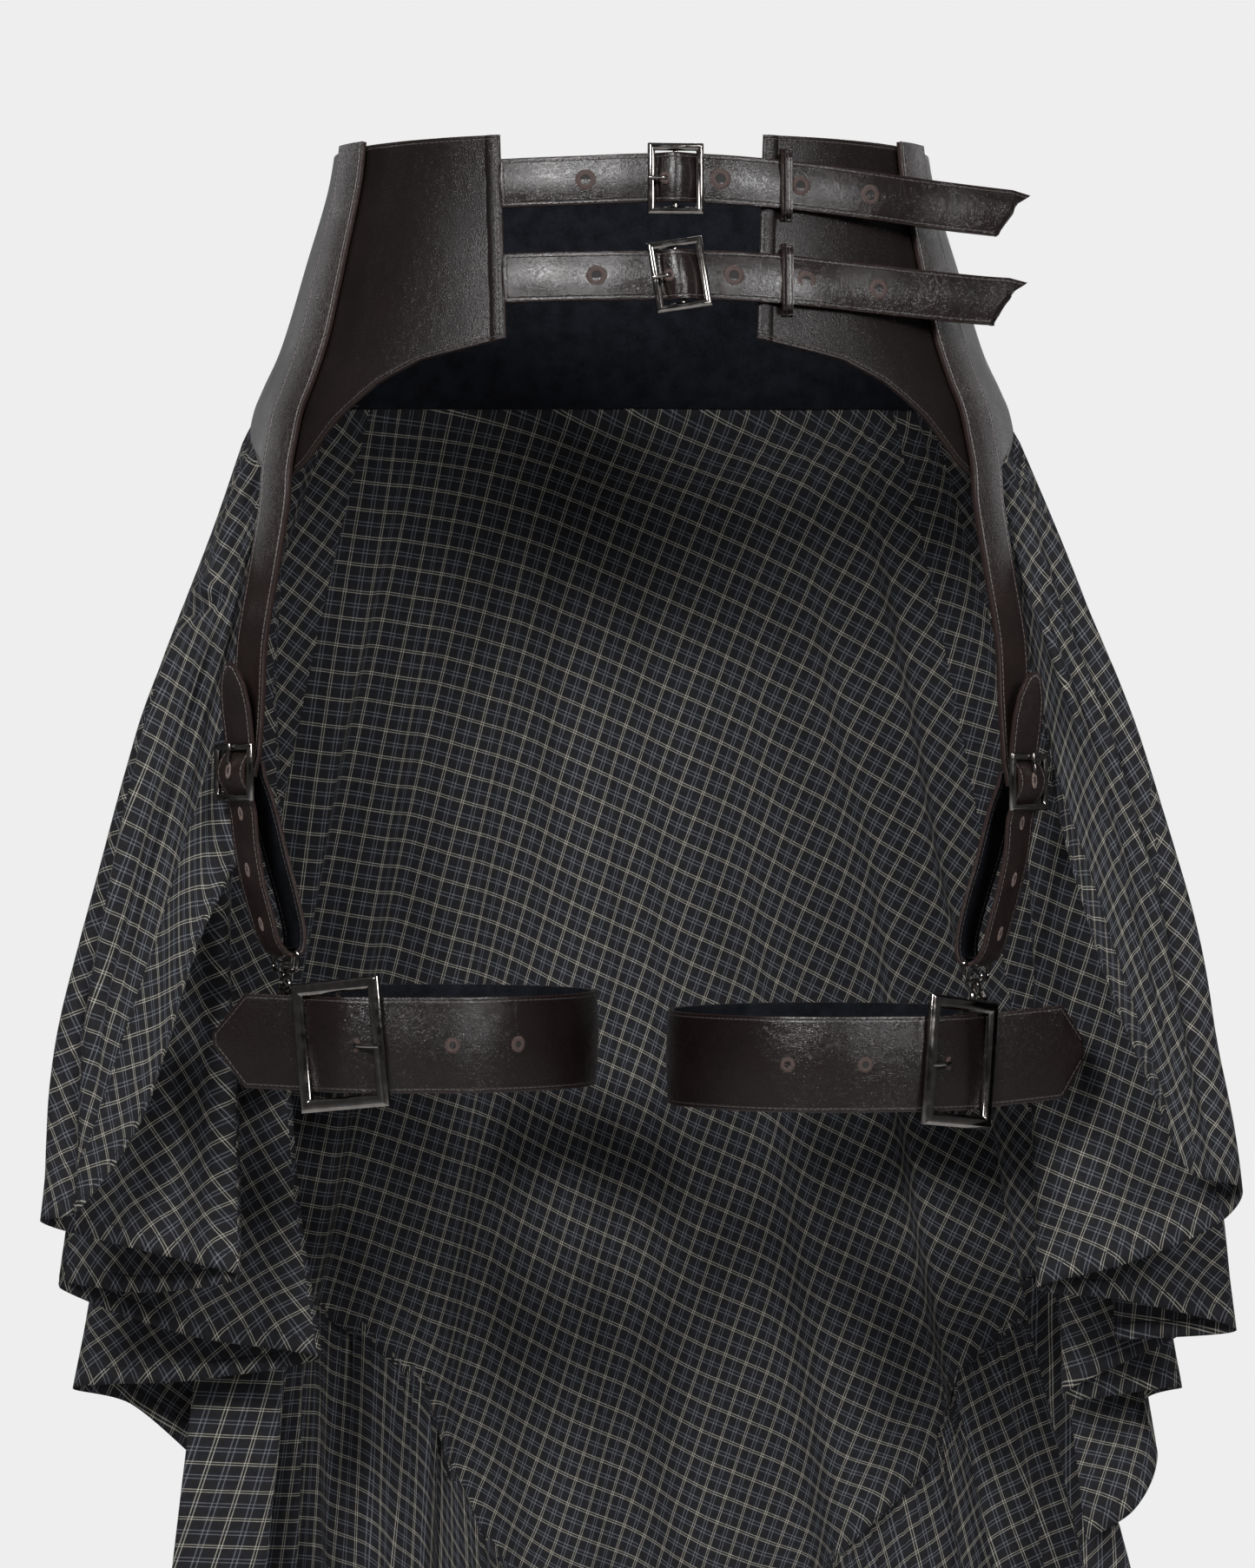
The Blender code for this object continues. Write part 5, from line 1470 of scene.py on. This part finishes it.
def buckle_model(sizes):
    """A bevelled rectangular frame with a bar down its middle, lying in the XY plane."""
    model = bmesh.new()
    bmesh.ops.create_grid(model, x_segments=1, y_segments=1, size=0.5)
    bmesh.ops.scale(model, verts=model.verts, vec=(sizes.width * MM, sizes.height * MM, 1.0))
    settings = {"thickness": sizes.bar * MM, "use_even_offset": True, "use_boundary": True}
    inset = set(bmesh.ops.inset_region(model, faces=list(model.faces), **settings)["faces"])
    inner = [face for face in model.faces if face not in inset]
    bmesh.ops.delete(model, geom=inner, context="FACES_ONLY")
    made = bmesh.ops.extrude_face_region(model, geom=list(model.faces))
    top = [item for item in made["geom"] if isinstance(item, bmesh.types.BMVert)]
    bmesh.ops.translate(model, verts=top, vec=(0, 0, sizes.depth * MM))
    bmesh.ops.translate(model, verts=model.verts, vec=(0, 0, -sizes.depth * MM / 2))
    bmesh.ops.recalc_face_normals(model, faces=model.faces)
    front = [edge for edge in model.edges if all(vert.co.z > 0 for vert in edge.verts)]
    front = [edge for edge in front if len(edge.link_faces) == 2 and edge.calc_face_angle() > 1.0]
    rounded(model, front, sizes.rounding, 1)
    corners = [edge for edge in model.edges if len(edge.link_faces) == 2 and edge.calc_face_angle() > 0.7]
    rounded(model, corners, 0.25, 2)
    rod = Matrix.Translation((0, 0, -sizes.bar_back * MM)) @ Matrix.Rotation(math.pi / 2, 4, "X")
    size = {"radius1": BAR_RADIUS * MM, "radius2": BAR_RADIUS * MM, "depth": (sizes.height - sizes.bar) * MM}
    bmesh.ops.create_cone(model, cap_ends=True, segments=20, matrix=rod, **size)
    return model


def matrix_of(place, *axes):
    matrix = Matrix(np.column_stack(axes).tolist()).to_4x4()
    matrix.translation = Vector(np.asarray(place) * MM)
    return matrix


def placed(model, place, right, up):
    """Moves a model from the XY plane to its place, its X along right and its Y along up."""
    right = unit(right)
    up = unit(up)
    matrix = matrix_of(place, right, up, np.cross(right, up))
    bmesh.ops.transform(model, matrix=matrix, verts=model.verts)
    return model


def tube(model, points, radii, sides, closed=False):
    """A tube through the points: circles bridged one after another."""
    points = [np.asarray(point, float) for point in points]
    count = len(points)
    rings = []
    helper = None
    for i, point in enumerate(points):
        if closed:
            axis = unit(points[(i + 1) % count] - points[i - 1])
        else:
            axis = unit(points[min(i + 1, count - 1)] - points[max(i - 1, 0)])
        if helper is None:
            helper = np.cross(axis, UP if abs(axis[2]) < 0.8 else np.array((1.0, 0.0, 0.0)))
        first = unit(helper - axis * np.dot(helper, axis))
        helper = first
        second = np.cross(axis, first)
        matrix = matrix_of(point, first, second, axis)
        radius = radii[i] if hasattr(radii, "__len__") else radii
        made = bmesh.ops.create_circle(model, segments=sides, radius=radius * MM, matrix=matrix)
        rings.append(made["verts"])
    loops = [list({edge for vert in ring for edge in vert.link_edges}) for ring in rings]
    pairs = list(zip(range(count - 1), range(1, count)))
    if closed:
        pairs.append((count - 1, 0))
    for a, b in pairs:
        bmesh.ops.bridge_loops(model, edges=loops[a] + loops[b])
    if not closed:
        for ring in (rings[0], rings[-1]):
            bmesh.ops.contextual_create(model, geom=ring)
    bmesh.ops.recalc_face_normals(model, faces=model.faces)
    return model


def metal_piece(name, model, node):
    finish_piece(object_from(model, name, [METAL], 35), "metal", node)


def make_pin(label, kind, points, radius):
    line = smooth_through(points, np.linspace(0, len(points) - 1, 11))
    radii = np.interp(np.linspace(0, 1, 11), (0, 0.85, 1), (radius, radius, radius * 0.75))
    metal_piece(f"{kind}_pin_{label}", tube(bmesh.new(), line, radii, 12), f"{kind}_tongue_{label}")


def make_frame(label, kind, sizes, place, right, up):
    model = placed(buckle_model(sizes), place, right, up)
    metal_piece(f"{kind}_frame_{label}", model, f"{kind}_buckle_{label}")


def make_waist_buckle(label, belt):
    place = hip_front(belt.buckle_x, belt.buckle_z, WAIST_BUCKLE_OUT)
    above = hip_front(belt.buckle_x, belt.buckle_z + BELT_WIDTH / 2, WAIST_BUCKLE_OUT)
    flat_up = unit(above - place)
    flat_right = level_right(hip_outward(belt.buckle_x, belt.buckle_z))
    roll = math.radians(belt.roll)
    up = flat_up * math.cos(roll) - flat_right * math.sin(roll)
    right = flat_right * math.cos(roll) + flat_up * math.sin(roll)
    outward = np.cross(right, up)
    make_frame(label, "waist", WAIST_FRAME, place, right, up)
    clear = WAIST_FRAME.depth / 2 + 1.1
    bar_x = (WAIST_FRAME.width - WAIST_FRAME.bar) / 2
    stops = ((4.2, clear - 0.4), (5.6, clear + 0.35), (8.0, clear + 0.2), (bar_x + 1.2, clear - 0.15))
    make_pin(label, "waist", run_of(place, -right, outward, stops), radius=0.75)
    eyelet("waist_pin_eyelet_" + label, place - right * 4.4 + outward * 1.95, right, up, outer=2.6, hole=0.9)


def make_garter_metal(label, side):
    buckle_z = GARTER_BUCKLE_Z[label]
    point, across, outward = garter_frame(side, buckle_z)
    bar_way = across if np.dot(np.cross(UP, across), outward) > 0 else -across
    place = point + outward * GARTER_BUCKLE_OUT
    make_frame(label, "garter", GARTER_FRAME, place, UP, bar_way)
    clear = GARTER_FRAME.depth / 2 + 0.9
    stops = ((3.4, clear + 1.0), (5.2, clear + 0.9), (8.4, clear + 0.3), (11.8, clear))
    make_pin(label, "garter", run_of(place, UP, outward, stops), radius=0.75)
    low_point, low_across, low_outward = garter_frame(side, buckle_z - RING_DROP)
    low_point[2] = 0.0
    hang = low_point + low_outward * LOOP_MIDDLE_OUT
    ring_z = buckle_z + RING_BAR_RISE - RING_HEIGHT / 2
    outline = []
    for quarter in range(4):
        centre_x = (RING_WIDTH / 2 - RING_CORNER) * (1 if quarter in (0, 3) else -1)
        centre_z = (RING_HEIGHT / 2 - RING_CORNER) * (1 if quarter in (0, 1) else -1)
        for step in range(7):
            bend = math.radians(90) * (quarter + step / 6)
            x = centre_x + RING_CORNER * math.cos(bend)
            outline.append(hang + low_across * x + UP * (ring_z + centre_z + RING_CORNER * math.sin(bend)))
    ring = tube(bmesh.new(), outline, RING_WIRE, 12, closed=True)
    metal_piece("ring_wire_" + label, ring, "garter_ring_" + label)
    make_clasp(label, side, hang, low_across, low_outward, ring_z - RING_HEIGHT / 2)


def make_clasp(label, side, hang, across, outward, ring_low):
    """A small cast swivel hook: eye, barrel, curved hook and its spring lever."""
    top = hang + UP * (ring_low + 1.6)
    low = hang + UP * (THIGHS[label].z + THIGH_BAND_WIDTH / 2 + 0.6)
    model = bmesh.new()
    eye = []
    for turn in np.arange(16) * math.pi / 8:
        eye.append(top + outward * 2.6 * math.cos(turn) + UP * (2.4 * math.sin(turn) - 0.4))
    tube(model, eye, 0.85, 8, closed=True)
    tube(model, [top - UP * down for down in (2.6, 3.6, 5.4, 6.2)], (1.2, 2.0, 2.0, 1.3), 12)
    tall = max((top[2] - low[2] - 5.5) / 2, 3.0)
    centre = low + UP * (tall + 0.2)
    hook = []
    for step in range(13):
        turn = math.radians(80 - 290 * step / 12)
        wide = across * side * 4.3 * math.cos(turn) * -1
        hook.append(centre + wide + UP * tall * math.sin(turn) + outward * 0.4)
    tube(model, hook, np.interp(np.linspace(0, 1, 13), (0, 0.3, 1), (1.5, 1.35, 0.9)), 10)
    lever = (hook[1] + outward * 1.2, hook[3] + outward * 1.9, hook[4] + across * side * -2.4 + outward * 1.6)
    tube(model, lever, (1.0, 1.2, 0.8), 8)
    metal_piece("clasp_hook_" + label, model, "garter_clasp_" + label)


def make_thigh_metal(label, side):
    place, outward, toward_side = thigh_buckle_frame(label, side)
    flat_right = level_right(outward)
    roll = math.radians(THIGH_BUCKLE_ROLL)
    up = UP * math.cos(roll) + toward_side * math.sin(roll)
    right = flat_right * math.cos(roll) - side * UP * math.sin(roll)
    make_frame(label, "thigh", THIGH_FRAME, place, right, up)
    clear = THIGH_FRAME.depth / 2 + 1.1
    bar_x = (THIGH_FRAME.width - THIGH_FRAME.bar) / 2
    stops = ((9.0, clear - 1.5), (11.0, clear - 0.4), (15.5, clear + 0.2), (bar_x + 2.4, clear))
    make_pin(label, "thigh", run_of(place, -toward_side, outward, stops), radius=0.95)
    centre = place - toward_side * 8.2 + outward * (clear - 1.6)
    eyelet("thigh_pin_eyelet_" + label, centre, right, up, outer=3.2, hole=1.2)


# Sewn eyelets


EYELET_SPOKES = 44


def set_eyelet(name, model, centre, right, up, stretch, thread):
    bmesh.ops.scale(model, verts=model.verts, vec=(1.0, stretch, 1.0))
    finish_piece(object_from(placed(model, centre, right, up), name, [thread], 60), "leather")


def eyelet(name, centre, right, up, outer, hole, stretch=1.0, thread=EYELET_THREAD):
    """A buttonhole ring of thread round a hole, with whip stitches of uneven length, and a near-black disc
    inside it as painted shade for the hole.
    """
    model = bmesh.new()
    profile = ((hole, -0.5), (hole * 1.08, 0.25), (outer * 0.62, 0.42), (outer * 0.9, 0.22), (outer, -0.25))
    rings = []
    for radius, rise in profile:
        made = bmesh.ops.create_circle(model, segments=EYELET_SPOKES, radius=radius * MM)["verts"]
        for k, vert in enumerate(made):
            vert.co.z = rise * MM
            if radius > outer * 0.5:
                wander = noise.noise(Vector((k * 1.7, outer, 0.3)))
                uneven = 1 + 0.10 * (k % 2) * (radius / outer) + 0.05 * wander
                vert.co.x *= uneven
                vert.co.y *= uneven
                vert.co.z += 0.10 * MM * (1 if k % 2 else -1)
        rings.append([edge for edge in model.edges if all(v in made for v in edge.verts)])
    for a, b in zip(rings, rings[1:]):
        bmesh.ops.bridge_loops(model, edges=a + b)
    bmesh.ops.recalc_face_normals(model, faces=model.faces)
    if max(model.faces, key=lambda face: face.calc_center_median().z).normal.z < 0:
        bmesh.ops.reverse_faces(model, faces=model.faces)
    set_eyelet(name, model, centre, right, up, stretch, thread)
    # A near-black disc inside the ring: painted shade standing for the dark of the hole.
    plug = bmesh.new()
    bmesh.ops.create_circle(plug, cap_ends=True, segments=24, radius=hole * 1.15 * MM)
    bmesh.ops.translate(plug, verts=plug.verts, vec=(0, 0, -0.05 * MM))
    set_eyelet(name + "_hole_shade_disc", plug, centre, right, up, stretch, HOLE_SHADE)


BELT_HOLES = {"upper": (-18.5, 36.0, 68.5, 97.5), "lower": (-14.0, 41.4, 70.8, 100.8)}
EYELET_OUT = STRAP_LEATHER / 2 + BELT_PAD + 0.1


def make_belt_eyelets(label, belt):
    line = belt_edge(belt, 0.0)
    for k, x in enumerate(BELT_HOLES[label]):
        point = np.array([np.interp(x, line[:, 0], line[:, axis]) for axis in range(3)])
        i = int(np.argmin(np.abs(line[:, 0] - x)))
        along = unit(line[min(i + 2, len(line) - 1)] - line[max(i - 2, 0)])
        outward = unit(np.cross(along, UP))
        if outward[1] > 0:
            outward = -outward
        centre = point + outward * EYELET_OUT
        eyelet(f"eyelet_{label}_{k}", centre, along, np.cross(outward, along), outer=4.2, hole=1.9)


THIGH_HOLES = {"right": (-74.0, -48.0), "left": (65.0, 96.0)}


def make_thigh_eyelets(label, side):
    thigh = THIGHS[label]
    for k, x in enumerate(THIGH_HOLES[label]):
        share = (abs(x) - thigh.centre_x) / (thigh.half_width + THIGH_BAND_OUT)
        angle = math.degrees(math.asin(share))
        outward = thigh_outward(thigh, side, angle)
        centre = thigh_point(thigh, side, angle, THIGH_BAND_OUT + EYELET_OUT)
        eyelet(f"thigh_eyelet_{label}_{k}", centre, level_right(outward), UP, outer=3.3, hole=1.3)


# Camera, light and floor


SENSOR_WIDTH = 36.0
Lamp = namedtuple("Lamp", "name place size power")
LAMPS = table(
    Lamp,
    ("left_front_softbox", (-1.0, -2.3, 1.15), (0.9, 0.6), 92.0),
    ("right_front_softbox", (1.35, -2.1, 0.75), (0.8, 0.6), 52.0),
    ("belt_softbox", (-0.45, -2.6, 1.05), (0.4, 0.3), 4.0),
    ("left_rim_softbox", (-2.2, 1.7, 0.3), (0.6, 1.8), 14.0),
    ("right_rim_softbox", (2.2, 1.7, 0.3), (0.6, 1.8), 14.0),
    ("back_softbox", (0.3, 2.7, 1.1), (1.4, 1.0), 70.0),
)
LAMPS_AIM = (0.0, 0.0, -0.35)


def make_studio():
    camera_data = bpy.data.cameras.new("camera")
    camera = bpy.data.objects.new("camera", camera_data)
    bpy.context.scene.collection.objects.link(camera)
    camera.location = Vector(CAMERA_PLACE) * MM
    camera.rotation_euler = (math.radians(90), 0.0, 0.0)
    camera_data.sensor_width = SENSOR_WIDTH
    camera_data.lens = SENSOR_WIDTH * -CAMERA_PLACE[1] / (MM_PER_PIXEL * PHOTO_HEIGHT)
    camera_data.clip_start = 0.1
    camera_data.clip_end = 200.0
    bpy.context.scene.camera = camera
    bpy.context.scene.view_settings.view_transform = "Standard"

    for lamp in LAMPS:
        data = bpy.data.lights.new(lamp.name, "AREA")
        data.shape = "RECTANGLE"
        data.size, data.size_y = lamp.size
        data.energy = lamp.power
        light = bpy.data.objects.new(lamp.name, data)
        bpy.context.scene.collection.objects.link(light)
        light.location = lamp.place
        aim = Vector(LAMPS_AIM) - Vector(lamp.place)
        light.rotation_euler = aim.to_track_quat("-Z", "Y").to_euler()

    world = bpy.data.worlds.new("studio")
    bpy.context.scene.world = world
    world.use_nodes = True
    tree = world.node_tree
    desk = Desk(tree)
    shown = tree.nodes["Background"]
    desk.give(shown, {"Color": BACKDROP, "Strength": 1.0})
    way = desk.parts(desk.put("TexCoord").outputs["Generated"])
    above = desk.spread(way["Z"], 0.25, 0.9, 0.0, 0.10)
    beside = desk.spread(desk.math("ABSOLUTE", way["X"]), 0.45, 0.95, 0.0, 0.05)
    behind = desk.spread(way["Y"], 0.3, 0.8, 0.03, 0.40)
    strength = desk.math("ADD", above, desk.math("ADD", beside, behind))
    fill = desk.put("Background", {"Color": (0.96, 0.98, 1.0, 1.0), "Strength": strength}).outputs[0]
    seen = desk.put("LightPath").outputs["Is Camera Ray"]
    both = desk.put("MixShader", {0: seen, 1: fill, 2: shown.outputs[0]})
    desk.plug(tree.nodes["World Output"].inputs["Surface"], both.outputs[0])

    model = bmesh.new()
    bmesh.ops.create_circle(model, cap_ends=True, segments=96, radius=30.0)
    bmesh.ops.translate(model, verts=model.verts, vec=(0, 0, FLOOR_Z))
    material, desk, shader = begin_material("pale_floor")
    desk.give(shader, {"Base Color": (0.45, 0.45, 0.45, 1.0), "Roughness": 0.9})
    glow = desk.put("Emission", {"Color": BACKDROP}).outputs[0]
    far = desk.put("VectorMath", {0: desk.place()}, operation="LENGTH").outputs["Value"]
    seen = desk.put("LightPath").outputs["Is Camera Ray"]
    share = desk.math("MULTIPLY", desk.spread(far, 1.15, 1.9), seen)
    blend = desk.put("MixShader", {0: share, 1: shader.outputs[0], 2: glow})
    desk.plug(material.node_tree.nodes["Material Output"].inputs["Surface"], blend.outputs[0])
    object_from(model, "floor", [material], 0)


make_studio()
for drape_label, drape_side in SIDES.items():
    DRAPE_GRIDS[drape_label] = make_drape(drape_label, drape_side)
    make_edge_band(drape_label, drape_side)
make_back_skirt()
make_flounce()
for panel_label, panel_side in SIDES.items():
    make_front_panel(panel_label, panel_side)
    seams = (SEAM_ANGLE + SEAM_GAP_ANGLE, SIDE_BACK_ANGLE)
    make_yoke(panel_label, "side_yoke_" + panel_label, panel_side, *seams, 40, (panel_side, 0.0, 0.0))
back_start = SIDE_BACK_ANGLE + SEAM_GAP_ANGLE
make_yoke("back", "back_yoke", 1, back_start, 360 - back_start, 90, (0, 1, 0))
for belt_label, belt_rows in BELTS.items():
    make_belt(belt_label, belt_rows)
    make_buckle_tab(belt_label, belt_rows)
    make_waist_buckle(belt_label, belt_rows)
    make_keeper(belt_label, belt_rows)
for belt_label, belt_rows in BELTS.items():
    make_belt_eyelets(belt_label, belt_rows)
for strap_label, strap_side in SIDES.items():
    make_garter_strap(strap_label, strap_side)
    make_adjuster(strap_label, strap_side)
    make_garter_metal(strap_label, strap_side)
    make_thigh_band(strap_label, strap_side)
    make_thigh_metal(strap_label, strap_side)
    make_thigh_eyelets(strap_label, strap_side)
